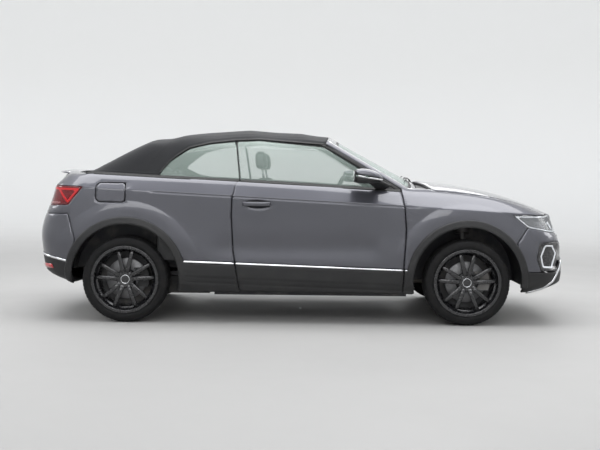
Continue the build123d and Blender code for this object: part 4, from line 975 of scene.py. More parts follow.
flap_rear = rounded_cut(FLAP_X[0], FLAP_X[1] + FLAP_R, *FLAP_Z, FLAP_R)
flap_cut = np.minimum(flap_rear, rounded_cut(*FLAP_X, *FLAP_Z, HINGE_R))
flap_hole = np.minimum(flap_rear, rounded_cut(*FLAP_X, *FLAP_Z, HOLE_R))
front_bumper_side = [*FRONT_SHUT, (FRONT_AXLE + 462, BONNET_LOW_Z - 4), (NOSE + 99, BONNET_LOW_Z - 4),
                     (NOSE + 99, 0)]
rear_bumper_side = [*REAR_SHUT, (TAIL - 99, 832), (TAIL - 99, 0)]
front_bumper_in = inside(front_bumper_side, x_at, z_at)
rear_bumper_in = inside(rear_bumper_side, x_at, z_at)
door_gap_x = np.interp(z_at, [p[1] for p in DOOR_FRONT[::-1]], [p[0] for p in DOOR_FRONT[::-1]])
rear_gap_x = np.interp(z_at, [p[1] for p in DOOR_REAR[::-1]], [p[0] for p in DOOR_REAR[::-1]])
foot_cut = z_at - FOOT_Z


def least(*fields):
    result = fields[0]
    for field in fields[1:]:
        result = np.minimum(result, field)
    return result


wing_cut = least(x_at - door_gap_x - SHUT, -bonnet_cut - SHUT, -front_bumper_in - 1.5, -headlamp_cut - 1.5,
                 front_arch - ARCH_R - 20, foot_cut, np.where(x_at > 0, 1e3, -1e3), 1150 - z_at,
                 np.where((y_at < 300) | (z_at < 400) & (x_at > FRONT_AXLE), -50.0, 1e3))
wing_cut = np.where((y_at < 690) & (x_at < FRONT_AXLE - 240), -20.0, wing_cut)
quarter_cut = least(rear_gap_x - x_at - SHUT, np.where(x_at < LID_FRONT + 8, 1e3, belt_z - z_at),
                    -rear_bumper_in - 1.5, -tail_lamp_cut - 1.5, -lid_cut - SHUT,
                    rear_arch - ARCH_R - 20, foot_cut, np.where(x_at < 0, 1e3, -1e3),
                    np.where(y_at < LID_HALF + 2, -50.0, 1e3))
wing_sill = np.minimum(above_strip, wing_cut)
quarter_sill = np.where(x_at > REAR_AXLE + 100, np.minimum(above_strip, quarter_cut), quarter_cut)
for side, sign in SIDES:
    panel(f"wing_{side}", np.where(x_at < FRONT_AXLE - 100, wing_sill, wing_cut), "body", "paint", paint,
          18.0, [f"fender_{side}"], side=side)
    hole = least(quarter_sill, -flap_hole - SHUT) if side == "right" else quarter_sill
    panel(f"quarter_{side}", hole, "body", "paint", paint, 18.0, [f"quarter_panel_{side}"], side=side)
panel("fuel_flap_skin", flap_cut - SHUT, "fuel_flap", "paint", paint, 12.0, ["fuel_flap"], side="right",
      edge=1.5)
panel("fuel_well", flap_cut + 14, "body", "paint", black_plastic, 3.0, grid=skin - skin_out * 46.0,
      side="right")

# A black rain channel between the boot lid and the foot of the fabric.
panel("deck_channel", least(x_at - LID_FRONT + 20, REAR_AXLE - 300 - x_at, z_at - 1100, 640 - y_at), "body",
      "paint", black_plastic, 3.0, both=True, edge=1.0, grid=skin - skin_out * 26.0)

# ------------------------------------------------------------------------------ bonnet
# One pressed lid hinged at the windscreen's foot, with a raised middle between two soft
# creases, painted like the body.
bonnet_keep = least(inside([(x - (3 if x > 1000 else -3), y - 3 if y > 0 else y) for x,
                            y in BONNET_PLAN[:-2]] +
                           [(NOSE + 50, 557), (NOSE + 50, -1)], x_at, y_at), z_at - BONNET_LOW_Z)
panel("bonnet_skin", bonnet_keep, "bonnet", "paint", paint, 22.0, ["bonnet"], both=True)

# ------------------------------------------------------------------------------ boot lid
# A short lid between the lamps with a lip spoiler on its rear edge, painted like the body,
# with a bare number plate recess and a black handle strip above it.
lid_keep = least(LID_HALF - 3 - y_at, LID_FRONT - 3 - x_at, z_at - LID_LOW_Z - 1.5)
lid_dish = 14.0 * rise((300 - np.abs(y_at)) / 24) * rise((935 - z_at) / 20)
panel("boot_lid_skin", lid_keep, "boot_lid", "paint", paint, 22.0, ["boot_lid"], both=True,
      grid=skin - skin_out * lid_dish[..., None])

# ------------------------------------------------------------------------------ bumpers
# One moulded skin at each end, painted above and grained black plastic below, with a bright
# strip at the rear, a bright blade under the front corners, and bare number plates.
GRILLE_Z = (705.0, 812.0)
GRILLE_HALF = 460.0
INTAKE = [(-1, 520), (620, 520), (560, 330), (-1, 330)]
grille_in = least(GRILLE_HALF - y_at, z_at - GRILLE_Z[0], GRILLE_Z[1] - z_at,
                  np.where(x_at > FRONT_AXLE + 600, 1e3, -1e3))
intake_in = np.where(x_at > FRONT_AXLE + 600, inside(INTAKE, y_at, z_at), -1e3)
LAMP_POD = [(1836, 640), (1990, 655), (2064, 600), (2078, 540), (2040, 425), (1848, 425), (1815, 520)]
RING_LAMP = [(1888, 622), (1953, 620), (1990, 562), (1949, 454), (1871, 459), (1853, 540)]
BLADE = [(2035, 500), (2012, 440), (1955, 345), (1880, 282), (1760, 250)]
APRON_Z = 418.0
REAR_STRIP = [(-2040, 521), (-1802, 470), (-1780, 466)]
REAR_BLACK = [(-2200, 548), (-2015, 520), (-1802, 476), (-1700, 460), (-1700, 0), (-2200, 0)]
pod_in = np.where(x_at > FRONT_AXLE + 450, inside(LAMP_POD, x_at, z_at), -1e3)
ring_in = inside(RING_LAMP, x_at, z_at)
bumper_in = least(front_bumper_in, -headlamp_cut - 1.5, -grille_in - 1, -intake_in - 1,
                  front_arch - ARCH_R - 20, foot_cut - 4)
front_dish = 17.0 * rise((292 - np.abs(y_at)) / 16) * rise((z_at - 540) / 14) * rise((686 - z_at) / 14)
front_skin = skin - skin_out * (front_dish * (x_at > 0))[..., None]
panel("front_bumper_skin", least(bumper_in, -pod_in - 1, z_at - APRON_Z), "body", "paint", paint, 14.0,
      ["front_bumper"], both=True, grid=front_skin)
panel("front_apron", least(bumper_in, -pod_in - 1, APRON_Z - 2 - z_at), "body", "paint", black_plastic, 14.0,
      both=True, edge=3.0)
pod_dish = 20.0 * rise(np.maximum(pod_in, 0) / 46)
panel("lamp_pods", least(bumper_in, pod_in), "body", "paint", gloss_black, 6.0, both=True, edge=3.0,
      grid=skin - skin_out * pod_dish[..., None])
lamp_white = Finish("ring_lamp_diffuser", (0.66, 0.68, 0.71), 0.25, emission_strength=0.06, coat_weight=0.6)
lamp_white.set(**{"Emission Color": (0.9, 0.95, 1.0)})
lamp_rib = lamp_white.noise(120.0, 2.0)
lamp_white.set(Roughness=lamp_rib.step(0.3, 0.7, 0.18, 0.35))
lamp_white.bump(lamp_rib, 0.1, 0.0004)
ring_grid = skin - skin_out * (pod_dish[..., None] - 7.0)
for side, sign in SIDES:
    panel(f"ring_lamp_{side}", 6.2 - np.abs(ring_in), "body", "lamp_clear", lamp_white, 9.0, edge=3.0,
          grid=ring_grid, side=side)


def band_about(line, half, a, b):
    """Half the band's width less the distance to an open line, so positive on the band."""
    nearest = np.full(np.shape(a), 1e9)
    for (a0, b0), (a1, b1) in zip(line, line[1:]):
        da, db = a1 - a0, b1 - b0
        t = np.clip(((a - a0) * da + (b - b0) * db) / (da * da + db * db), 0, 1)
        nearest = np.minimum(nearest, np.hypot(a - a0 - t * da, b - b0 - t * db))
    return half - nearest


blade_in = least(band_about(BLADE, 9.0, x_at, z_at), np.where(x_at > 1700, 1e3, -1e3),
                 front_arch - ARCH_R - CLADDING_W)
panel("front_blades", blade_in, "body", "paint", bright_trim, 6.0, both=True, edge=4.0, proud=6.0)
black_in = inside(REAR_BLACK, x_at, z_at)
rear_in = least(rear_bumper_in, rear_arch - ARCH_R - 20, foot_cut - 4, np.where(x_at < 0, 1e3, -1e3))
plate_dish = 12.0 * rise((292 - np.abs(y_at)) / 16) * rise((z_at - 590) / 14) * rise((735 - z_at) / 14)
panel("rear_bumper_skin", least(rear_in, -black_in), "body", "paint", paint, 14.0, ["rear_bumper"], both=True,
      grid=skin - skin_out * plate_dish[..., None] * (x_at < 0)[..., None])
low_step = 16.0 * rise((430 - y_at) / 40) * rise((395 - z_at) / 30)
panel("rear_apron", least(rear_in, black_in - 1), "body", "paint", black_plastic, 14.0, both=True, edge=3.0,
      proud=3.0, grid=skin - skin_out * low_step[..., None])
panel("rear_bright_strip", least(band_about(REAR_STRIP, 9.0, x_at, z_at), np.where(y_at > 420, 1e3, -1e3)),
      "body", "paint", bright_trim, 6.0, both=True, edge=4.0, proud=8.0)
reflector = Finish("reflector_red", (0.42, 0.008, 0.012), 0.18, coat_weight=1.0)
prism = reflector.noise(260.0, 2.0)
reflector.set(**{"Base Color": reflector.mix(prism, (0.30, 0.004, 0.008), (0.55, 0.012, 0.018))})
reflector.set(Roughness=prism.step(0.3, 0.7, 0.12, 0.3))
panel("rear_reflectors", np.where((x_at < -1900) & (y_at > 540) & (y_at < 800), 17 - np.abs(z_at - 425),
                                  -1.0), "body",
      "lamp_red", reflector, 6.0, both=True, edge=3.0, proud=9.0)


def plate_mesh(x, z, width, height, lean, sign):
    """A thin pressed plate with a raised rim: heights over a grid, tilted by lean."""
    v = np.concatenate([[-1, -0.985, -0.965], np.linspace(-0.94, 0.94, 20), [0.965, 0.985, 1]])
    a, b = np.meshgrid(v, v, indexing="ij")
    rim = np.minimum(rise((1 - np.abs(a)) * width / 2 / 4), rise((1 - np.abs(b)) * height / 2 / 4))
    lip = rise((np.maximum(np.abs(a) * width, np.abs(b) * height * 1.0 + (width - height)) - width + 22) /
               6) * 1.4
    out = sign * (2.5 * rim + lip)
    grid = np.stack([x + out + lean * b * height / 2, sign * a * width / 2, z + b * height / 2], axis=-1)
    return grid.reshape(-1, 3), grid_faces(*grid.shape[:2])


plate = Finish("bare_plate", (0.74, 0.74, 0.72), 0.4, metallic=0.1, coat_weight=0.3)
plate_tone = plate.noise(14.0, 3.0)
plate.set(Roughness=plate_tone.step(0.3, 0.8, 0.32, 0.5))
plate.bump(plate.noise(500.0, 2.0), 0.1, 0.0002)
PLATE_W, PLATE_H = 520.0, 112.0
rear_plate = put("rear_plate", *plate_mesh(TAIL + 4, 662, PLATE_W, PLATE_H, 0.0, -1), "body", "paint",
                 plate.material)
front_plate = put("front_plate", *plate_mesh(NOSE - 9, 612, PLATE_W, PLATE_H, 0.03, 1), "body", "paint",
                  plate.material)
front_holder = put("front_plate_holder", *plate_mesh(NOSE - 13.5, 612, PLATE_W + 12, PLATE_H + 12, 0.03, 1),
                   "body", "paint", black_plastic.material)
thicken(rear_plate, 4.0)
thicken(front_plate, 4.0)
thicken(front_holder, 22.0)

# ------------------------------------------------------------------------------ grille and intake
# Moulded black bars in two openings of the front bumper: a slim grille between the lamps
# with two bright bars, and a wide intake with crossing slats in front of the cooler.


def bars(hole, height, pitch, first, depth):
    """A skin pushed back by a wave that repeats with height: bars in front, gaps behind."""
    wave = (z_at - first) / pitch
    inset = depth * (1 - rise((np.cos(2 * math.pi * wave) - math.cos(math.pi * height / pitch)) / 0.35))
    return hole, skin - skin_out * (10.0 + inset)[..., None]


hole, barred = bars(grille_in - 1, 16.0, 35.6, GRILLE_Z[0] + 17.8, 30.0)
panel("grille_bars", hole, "body", "black_plastic", gloss_black, 6.0, ["grille"], both=True, edge=2.0,
      grid=barred)
hole, barred = bars(intake_in - 1, 12.0, 31.6, 346.0, 34.0)
# Upright bars close behind the level ones: nothing there lies deeper than UPRIGHT_DEPTH.
UPRIGHT_DEPTH = 18.0
upright = rise((np.cos(2 * math.pi * y_at / 74.0) - 0.86) / 0.1)
inset = np.linalg.norm(barred - skin, axis=-1)
barred = skin - skin_out * (inset - np.maximum(inset - UPRIGHT_DEPTH, 0) * upright)[..., None]
panel("intake_bars", hole, "body", "black_plastic", black_plastic, 6.0, both=True, edge=2.0, grid=barred)
for name, z in (("upper", GRILLE_Z[1] - 18), ("lower", GRILLE_Z[0] + 18)):
    panel(f"grille_bright_{name}", least(grille_in - 6, 4.5 - np.abs(z_at - z)), "body", "black_plastic",
          bright_trim, 8.0, both=True, edge=3.0, grid=skin - skin_out * 7.0)

# ------------------------------------------------------------------------------ cladding
# Grained black plastic round the wheel arches and along the sills, clipped on over the
# painted steel, with level grooves and a bright strip on its upper edge.
CLAD_FOOT_Z = 296.0
for end, arch_r in (("front", front_arch), ("rear", rear_arch)):
    near = np.abs(x_at - AXLES[end]) < 520
    band = least(ARCH_R + CLADDING_W - arch_r, arch_r - ARCH_R, z_at - CLAD_FOOT_Z, np.where(near, 1e3, -1e3))
    if end == "front":
        sill = least(x_at - door_gap_x - SHUT, below_strip, AXLES[end] - x_at, arch_r - ARCH_R, foot_cut + 8)
        strip = least(strip_band, x_at - door_gap_x - SHUT, AXLES[end] - 350 - x_at,
                      arch_r - ARCH_R - CLADDING_W + 8)
    else:
        sill = least(rear_gap_x - SHUT - x_at, below_strip, x_at - AXLES[end], arch_r - ARCH_R, foot_cut + 8)
        strip = least(strip_band, rear_gap_x - SHUT - x_at, x_at - AXLES[end] - 350,
                      arch_r - ARCH_R - CLADDING_W + 8)
    lip = 3.0 * rise((ARCH_R + 26 - arch_r) / 6) - 2.0 * rise((arch_r - ARCH_R - CLADDING_W + 7) / 5)
    grid = np.where((sill > 0)[..., None] & (band <= 0)[..., None], grooved, skin + skin_out * lip[..., None])
    panel(f"arch_cladding_{end}", np.maximum(band, sill), "body", "black_plastic", black_plastic, 38.0,
          ["arch_cladding"] if end == "front" else [], both=True, edge=3.0, proud=CLADDING_PROUD, grid=grid)
    panel(f"sill_strip_{end}", strip, "body", "black_plastic", bright_trim, 8.0, both=True, edge=5.0,
          proud=CLADDING_PROUD + 4.0)

# ------------------------------------------------------------------------------ lamps
# Clear headlamp covers over a dark bowl with two slanted silver elements and a bright
# frame; red rear lamps with a lit triangle and a pale strip, flush with the painted panels.


def clear_cover(name, colour, roughness, alpha):
    finish = Finish(name, colour, roughness, coat_weight=1.0, coat_roughness=0.03)
    tone = finish.noise(40.0, 2.0)
    finish.set(Alpha=alpha, Roughness=tone.step(0.3, 0.7, roughness * 0.8, roughness * 1.3))
    finish.material.surface_render_method = "BLENDED"
    return finish


cover = clear_cover("lamp_cover", (0.55, 0.57, 0.59), 0.04, 0.14)
bowl = Finish("lamp_bowl", (0.06, 0.062, 0.066), 0.3, metallic=0.6)
bowl_lines = bowl.noise(60.0, 2.0)
bowl.set(Roughness=bowl_lines.step(0.2, 0.8, 0.2, 0.42))
bowl.bump(bowl_lines, 0.05, 0.0004)
silver = Finish("lamp_silver", (0.80, 0.82, 0.85), 0.2, metallic=0.9, emission_strength=0.12)
silver.set(**{"Emission Color": (0.9, 0.95, 1.0)})
silver.set(Roughness=silver.noise(90.0, 2.0).step(0.3, 0.7, 0.14, 0.3))
lamp_depth = 34.0 * rise(np.maximum(headlamp_cut, 0) / 30)
panel("headlamp_bowls", headlamp_cut - 0.5, "body", "lamp_clear", bowl, 5.0, ["headlamps"], both=True,
      edge=2.0, grid=skin - skin_out * lamp_depth[..., None] - skin_out * 3.0)
panel("headlamp_covers", headlamp_cut - 1.0, "body", "lamp_clear", cover, 3.0, both=True, edge=3.0)
across = around[:, None] + 0 * z_at
slant = (across - 330.0) - 0.9 * (z_at - 790)
for number, centre in enumerate((240.0, 360.0)):
    element = least(headlamp_cut - 16, 26 - np.abs(slant - centre), 806 - z_at + 0 * slant)
    panel(f"headlamp_element_{number + 1}", element, "body", "lamp_clear", silver, 6.0, both=True, edge=4.0,
          grid=skin - skin_out * 16.0)
panel("headlamp_light_bars", least(headlamp_cut - 4, 4.5 - np.abs(headlamp_cut - 9)), "body", "lamp_clear",
      silver, 6.0, both=True, edge=2.0, grid=skin - skin_out * 5.0)

lens_red = clear_cover("rear_lamp_lens", (0.20, 0.003, 0.008), 0.06, 0.45)
guide = Finish("light_guide", (0.9, 0.04, 0.05), 0.2, emission_strength=0.9)
guide.set(**{"Emission Color": (1.0, 0.03, 0.03)})
guide.set(Roughness=guide.noise(90.0, 2.0).step(0.3, 0.7, 0.15, 0.3))
smoke = Finish("rear_lamp_bowl", (0.07, 0.004, 0.008), 0.3, metallic=0.4)
smoke.set(Roughness=smoke.noise(90.0, 2.0).step(0.3, 0.7, 0.2, 0.45))
pale = Finish("rear_lamp_strip", (0.85, 0.83, 0.82), 0.2, emission_strength=0.2)
pale.set(**{"Emission Color": (1.0, 0.95, 0.95)})
pale.set(Roughness=pale.noise(90.0, 2.0).step(0.3, 0.7, 0.15, 0.3))
V_UPPER = [(-2110, 1026), (-1880, 1024), (-1722, 1021), (-1800, 926)]
V_LOWER = [(-1884, 1022), (-1838, 966), (-1802, 926)]
PALE_LINE = [(-2110, 920), (-1960, 918), (-1868, 918)]
panel("tail_lamp_bowls", tail_lamp_cut - 0.5, "body", "lamp_red", smoke, 5.0, ["tail_lamps"], both=True,
      edge=2.0, grid=skin - skin_out * (22.0 * rise(np.maximum(tail_lamp_cut, 0) / 20) + 3.0)[..., None])
for name, line, half, finish in (("guide_upper", V_UPPER, 8.0, guide), ("guide_lower", V_LOWER, 8.0, guide),
                                 ("pale_strip", PALE_LINE, 6.0, pale)):
    panel(f"tail_lamp_{name}", least(tail_lamp_cut - 8, band_about(line, half, x_at, z_at)), "body",
          "lamp_red", finish, 4.0, both=True, edge=3.0, grid=skin - skin_out * 6.0)
panel("tail_lamp_covers", tail_lamp_cut - 1.0, "body", "lamp_red", lens_red, 3.0, both=True, edge=3.0)
panel("lid_handle_strip", least(lid_keep - 3, 260 - y_at, 14 - np.abs(z_at - 962),
                                np.where(x_at < -1850, 1e3, -1e3)),
      "boot_lid", "paint", black_plastic, 8.0, both=True, edge=3.0, proud=2.0)

# ------------------------------------------------------------------------------ spoiler
# A slim lip moulded on to the boot lid's rear edge, painted.


def spoiler_mesh():
    """Sections across the car: a flat drop shape that runs from the deck to the lip, with
    the lip's place following the outline in plan."""
    y = np.linspace(-528, 528, 90)
    rear = np.interp(np.abs(y), [0, 300, 530], [REAR_AXLE - 636, REAR_AXLE - 625, REAR_AXLE - 575])
    front = np.full_like(y, REAR_AXLE - 500)
    t = np.linspace(0, 2 * math.pi, 28, endpoint=False)
    along, thick = (1 - np.cos(t)) / 2, np.sin(t)
    ends = np.sqrt(np.clip(1 - (np.abs(y) / 530) ** 12, 0.0, 1))
    x = front[:, None] + (rear - front)[:, None] * along[None, :]
    top = DECK_Z - y[:, None] ** 2 / (2 * DECK_R)
    half = (3.0 + 8.0 * np.sin(math.pi * along ** 0.8))[None, :] * ends[:, None]
    z = top - 9 + 5.0 * along[None, :] ** 2 + thick[None, :] * half
    grid = np.stack([x, y[:, None] + 0 * x, z], axis=-1)
    return swept(grid)


put("boot_spoiler", *spoiler_mesh(), "boot_lid", "paint", paint.material)

# ------------------------------------------------------------------------------ windscreen
# A steel frame of two pillars and a header, painted like the body and welded to the cowl.
# A curved laminated screen is bonded into it, over a black cowl cover with two wipers.
SCREEN_FOOT, SCREEN_HEAD = (FRONT_AXLE - 372, 1104.0), (FRONT_AXLE - 1046, 1466.0)
SCREEN_HALF_FOOT, SCREEN_HALF_HEAD, SCREEN_SAG = 745.0, 612.0, 93.0
PILLAR_W, HEAD_RAIL, PILLAR_ROUND = 52.0, 62.0, 30.0
screen_run = math.dist(SCREEN_FOOT, SCREEN_HEAD)
screen_up = (np.array(SCREEN_HEAD) - SCREEN_FOOT) / screen_run


def on_screen(s, y, depth):
    """A point s up the screen, y across it and depth inside it. Its middle line is straight,
    and it curves back to the sides as the square of y."""
    inward = depth + SCREEN_SAG * (y / SCREEN_HALF_FOOT) ** 2
    x = SCREEN_FOOT[0] + s * screen_up[0] - inward * screen_up[1]
    z = SCREEN_FOOT[1] + s * screen_up[1] + inward * screen_up[0]
    return np.stack(np.broadcast_arrays(x, y, z), axis=-1)


def glazing(name, tint, least_alpha):
    """Thin tinted glass: it reflects more, and shows less of what is behind, at a slant."""
    finish = Finish(name, tint, 0.04, specular_ior_level=0.6)
    slant = Value(finish, finish.node("LayerWeight", None, 0.4).outputs["Facing"])
    haze = finish.noise(3.0, 3.0)
    finish.set(Alpha=slant * 0.42 + least_alpha, Roughness=haze.step(0.3, 0.8, 0.03, 0.07))
    finish.material.surface_render_method = "BLENDED"
    return finish


screen_glass = glazing("windscreen_glass", (0.40, 0.48, 0.45), 0.18)
side_glass = glazing("side_glass", (0.42, 0.51, 0.465), 0.20)
dark_border = Finish("glass_border", (0.006, 0.006, 0.007), 0.5, specular_ior_level=0.2)
dark_border.set(Roughness=dark_border.noise(35.0, 3.0).step(0.3, 0.8, 0.42, 0.58))
share = np.concatenate([np.linspace(0, 0.86, 40), np.linspace(0.86, 1, 30)[1:]])[:, None]
climb = np.linspace(-36, screen_run + 8, 90)[None, :]
screen_half = SCREEN_HALF_FOOT + (SCREEN_HALF_HEAD - SCREEN_HALF_FOOT) * climb / screen_run
over = share * screen_half
curl = np.clip((over - screen_half + PILLAR_ROUND) / PILLAR_ROUND, 0, 1)
frame_grid = on_screen(climb, over, PILLAR_ROUND * (1 - np.sqrt(1 - 0.98 * curl ** 2)))
screen_hole = low_of(low_of(screen_half - PILLAR_W - over, climb - 12 + 0 * over, 40.0),
                     screen_run - HEAD_RAIL - climb, 40.0)
above_body = np.where(frame_grid[..., 0] < FRONT_AXLE - 460,
                      frame_grid[..., 2] - height_on(BELT, frame_grid[..., 0]) - 4, frame_grid[..., 2] - 1046)


def surface(name, grid, keep, body, slot, finish, thickness, replaced=(), both=True, edge=3.0, proud=0.0,
            side=None):
    """A sheet cut from any grid of points of the car's left half."""
    mesh = cut_out(grid, keep, edge, proud, outward(grid))
    if both:
        mesh = joined(mesh, mirrored(mesh))
    elif side == "right":
        mesh = mirrored(mesh)
    piece = put(name, *mesh, body, slot, finish.material, replaced)
    return thicken(merge_seam(piece) if both else piece, thickness)


surface("windscreen_surround", frame_grid, least(-screen_hole, above_body), "body", "paint", paint, 34.0,
        ["windscreen_frame"])
glass_grid = on_screen(climb, over, 4.0)
surface("windscreen_pane", glass_grid, least(screen_hole + 8, glass_grid[..., 2] - 1052), "body",
        "screen_glass", screen_glass, 5.0, ["windscreen"], edge=1.0)
surface("windscreen_border", on_screen(climb, over, 2.6),
        least(screen_hole + 4, 22 - screen_hole, glass_grid[..., 2] - 1052),
        "body", "screen_glass", dark_border, 1.2, edge=1.0)

across, back = np.linspace(0, 728, 70)[:, None], np.linspace(0, 1, 40)[None, :]
bonnet_edge = np.interp(across, [0, 400, 712], [FRONT_AXLE - 334, FRONT_AXLE - 304, FRONT_AXLE - 259]) + 22
cowl_front = np.stack(np.broadcast_arrays(bonnet_edge, across, top_of_body(bonnet_edge, across) - 26),
                      axis=-1)
cowl_rear = on_screen(-6.0, across, 12.0)
cowl_dip = 12 * np.sin(math.pi * back) + 1.6 * np.clip(np.sin(2 * math.pi * across / 16), 0,
                                                       1) * rise(4 * back * (1 - back) - 0.3)
cowl_drop = cowl_dip[..., None] * np.array([0, 0, 1.0])
cowl_grid = cowl_front + back[..., None] * (cowl_rear - cowl_front) - cowl_drop
surface("cowl_cover", cowl_grid, 1.0 + 0 * cowl_grid[..., 0], "body", "black_plastic", black_plastic, 3.0,
        edge=0.5)


def solid(name, mesh, body, slot, finish, replaced=()):
    """A closed piece, its faces turned outwards after its doubles are merged."""
    piece = put(name, *mesh, body, slot, finish.material, replaced)
    work = bmesh.new()
    work.from_mesh(piece.data)
    bmesh.ops.remove_doubles(work, verts=work.verts, dist=0.00001)
    bmesh.ops.recalc_face_normals(work, faces=work.faces)
    work.to_mesh(piece.data)
    work.free()
    return piece


def bar(path, width, depth, ref=(0, 0, 1), sides=12, power=3.0):
    """A bar with a rounded section along a path; ref is the way that its width is square to."""
    path = np.asarray(path, float)
    ahead = np.gradient(path, axis=0)
    ahead = ahead / np.linalg.norm(ahead, axis=1, keepdims=True)
    aside = np.cross(np.asarray(ref, float), ahead)
    aside = aside / np.linalg.norm(aside, axis=1, keepdims=True)
    rise_way = np.cross(ahead, aside)
    round_box = rounded_section(1.0, 1.0, sides, power)
    width, depth = (np.broadcast_to(np.asarray(v, float), len(path))[:, None, None] for v in (width, depth))
    return swept(path[:, None] + aside[:, None] * round_box[None, :, :1] * width + rise_way[:, None] *
                 round_box[None, :, 1:] * depth)


def pad(centre, along, up, width, height, depth, power=5.0, sides=40):
    """A rounded plate: superellipses stacked along its normal, the outer ones smaller."""
    along, up = np.asarray(along, float), np.asarray(up, float)
    normal = np.cross(along, up)
    round_box = rounded_section(1.0, 1.0, sides, power)
    soft = min(depth * 0.4, 6.0)
    rings = []
    for out, draw in ((-depth / 2, soft), (-depth / 2 + soft * 0.3, soft * 0.3), (-depth / 2 + soft, 0),
                      (depth / 2 - soft, 0), (depth / 2 - soft * 0.3, soft * 0.3), (depth / 2, soft)):
        rings.append(np.asarray(centre) + along * round_box[:, :1] * (width - 2 * draw) + up *
                     round_box[:, 1:] *
                     (height - 2 * draw) + normal * out)
    return swept(np.array(rings))


for number, (pivot_y, reach) in enumerate(((610.0, -640.0), (40.0, -560.0))):
    t = np.linspace(0, 1, 30)
    blade_y = pivot_y + 40 + reach * t
    blade = bar(on_screen(34 + 30 * t, blade_y, -9.0 + 0 * t), 7.0, 14.0, ref=(1, 0, 0.6))
    t = np.linspace(0, 1, 14)
    arm_y = pivot_y + (40 + reach * 0.5) * t
    arm = bar(on_screen(-26 + 86 * t, arm_y, -5 - 11 * np.sin(math.pi * t)), 20 - 9 * t, 8.0,
              ref=(0.5, 0, 0.9))
    hub = pad(on_screen(-26.0, np.array(pivot_y), -1.0), (0, 1, 0), (-0.9, 0, 0.45), 34, 34, 20, 2.0)
    solid(f"wiper_{number + 1}", joined(blade, arm, hub), "body", "black_plastic", black_plastic)

# ------------------------------------------------------------------------------ fabric top
# Three layers of charcoal cloth and rubber, sewn to one sheet and stretched from the
# windscreen header over four steel bows to the deck, with welted seams and a rubber hem.
ROOF_R = 2800.0
# height, fall, nose, side, rear of the side x y, rear corner x y, tail, softness
TOP_TABLE = np.array([
    (1059, BELT_SLOPE, FRONT_AXLE - 250, 755.5, REAR_AXLE - 130, 705, REAR_AXLE - 340, 560, REAR_AXLE - 437,
     10),
    (1300, 0, FRONT_AXLE - 560, 663.5, REAR_AXLE + 140, 628, REAR_AXLE - 70, 500, REAR_AXLE - 167, 70),
    (1425, 0, FRONT_AXLE - 900, 593.5, REAR_AXLE + 400, 560, REAR_AXLE + 185, 450, REAR_AXLE + 87, 60),
    (1540, 0, FRONT_AXLE - 1150, 443.5, REAR_AXLE + 700, 400, REAR_AXLE + 560, 330, REAR_AXLE + 480, 60),
    (1900, 0, FRONT_AXLE - 1361, 4, REAR_AXLE + 950, 4, REAR_AXLE + 850, 3, REAR_AXLE + 790, 60),
])
TOP_PLAN = (0.0, 600.0, 870.0, 3100.0, 3340.0, 3900.0)
HEADER = SCREEN_HEAD
BOWS = [(REAR_AXLE + 115, 1438.0), (REAR_AXLE + 380, 1493.0), (FRONT_AXLE - 1717, CAD_BOX[1].z * 1000),
        (FRONT_AXLE - 1290, 1498.0)]
DECK_FOOT = (REAR_AXLE - 440, 1166.0)
BOW_SOFT = 24.0


def top_levels(table):
    h, fall, nose, side, rs_x, rs_y, rc_x, rc_y, tail, soft = table.T
    taper = np.minimum(1.0, side / 443.0)
    return np.stack([h, fall, nose, nose - 60, side - 150 * taper, nose - 280, side - 12 * taper, side, rs_x,
                     rs_y, rc_x, rc_y, tail, soft], axis=1)


roof_line = [(TAIL, DECK_FOOT[1] + 0.49 * (TAIL - DECK_FOOT[0])), DECK_FOOT, *BOWS, HEADER,
             (HEADER[0] + 700, HEADER[1] - 130)]


def roof(x, y):
    """Straight from bow to bow with a rounded bend over each and a slight sag between them,
    falling to the sides as a circle does."""
    knots, heights = (np.array(values, float) for values in zip(*roof_line))
    softness = np.array([9, 9, *[BOW_SOFT] * len(BOWS), 9, 9], float)
    line = soft_lines(x, knots, heights, softness)
    stations = knots[1:-1]
    k = np.clip(np.searchsorted(stations, x) - 1, 0, len(stations) - 2)
    t = np.clip((x - stations[k]) / (stations[k + 1] - stations[k]), 0, 1)
    return line - 3.5 * np.sin(math.pi * t) ** 2 - y ** 2 / (2 * ROOF_R)


def top_shoulder(x):
    return 10 + 50 * rise((170 - x) / 260) * rise((x + 1240) / 200)


top_shell = Shell(top_levels(TOP_TABLE), TOP_PLAN, roof, top_shoulder)
top_around = np.concatenate([np.linspace(0, 600, 40)[:-1], np.linspace(600, 870, 22)[:-1],
                             np.linspace(870, 3100, 170)[:-1],
                             np.linspace(3100, 3340, 24)[:-1], np.linspace(3340, 3900, 46)])
top_upward = np.concatenate([np.linspace(1040, 1300, 64)[:-1], np.linspace(1300, 1425, 34)[:-1],
                             np.linspace(1425, 1540, 34)[:-1], np.linspace(1540, 1899, 74)])
top = top_shell(top_around[:, None], top_upward[None, :])
top[:, -1, 1] = 0.0                  # both halves meet along the middle of the roof
top_out = outward(top)
top_x, top_y, top_z = top[..., 0], top[..., 1], top[..., 2]
WINDOW = [(REAR_AXLE + 238, 900), (REAR_AXLE + 238, 1119), (REAR_AXLE + 244, 1154), (REAR_AXLE + 313, 1243),
          (REAR_AXLE + 357, 1282), (REAR_AXLE + 462, 1353), (REAR_AXLE + 620, 1393), (REAR_AXLE + 826, 1418),
          (FRONT_AXLE - 1614, 1427), (FRONT_AXLE - 1088, 1387), (FRONT_AXLE - 700, 1387),
          (FRONT_AXLE - 700, 900)]
REAR_GLASS = [(-1, 1235), (400, 1235), (345, 1385), (-1, 1385)]
TOP_FOOT = [(TAIL, 1153.0), (REAR_AXLE - 410, 1153.0), (REAR_AXLE - 218, 1143), (REAR_AXLE + 174, 1123)]
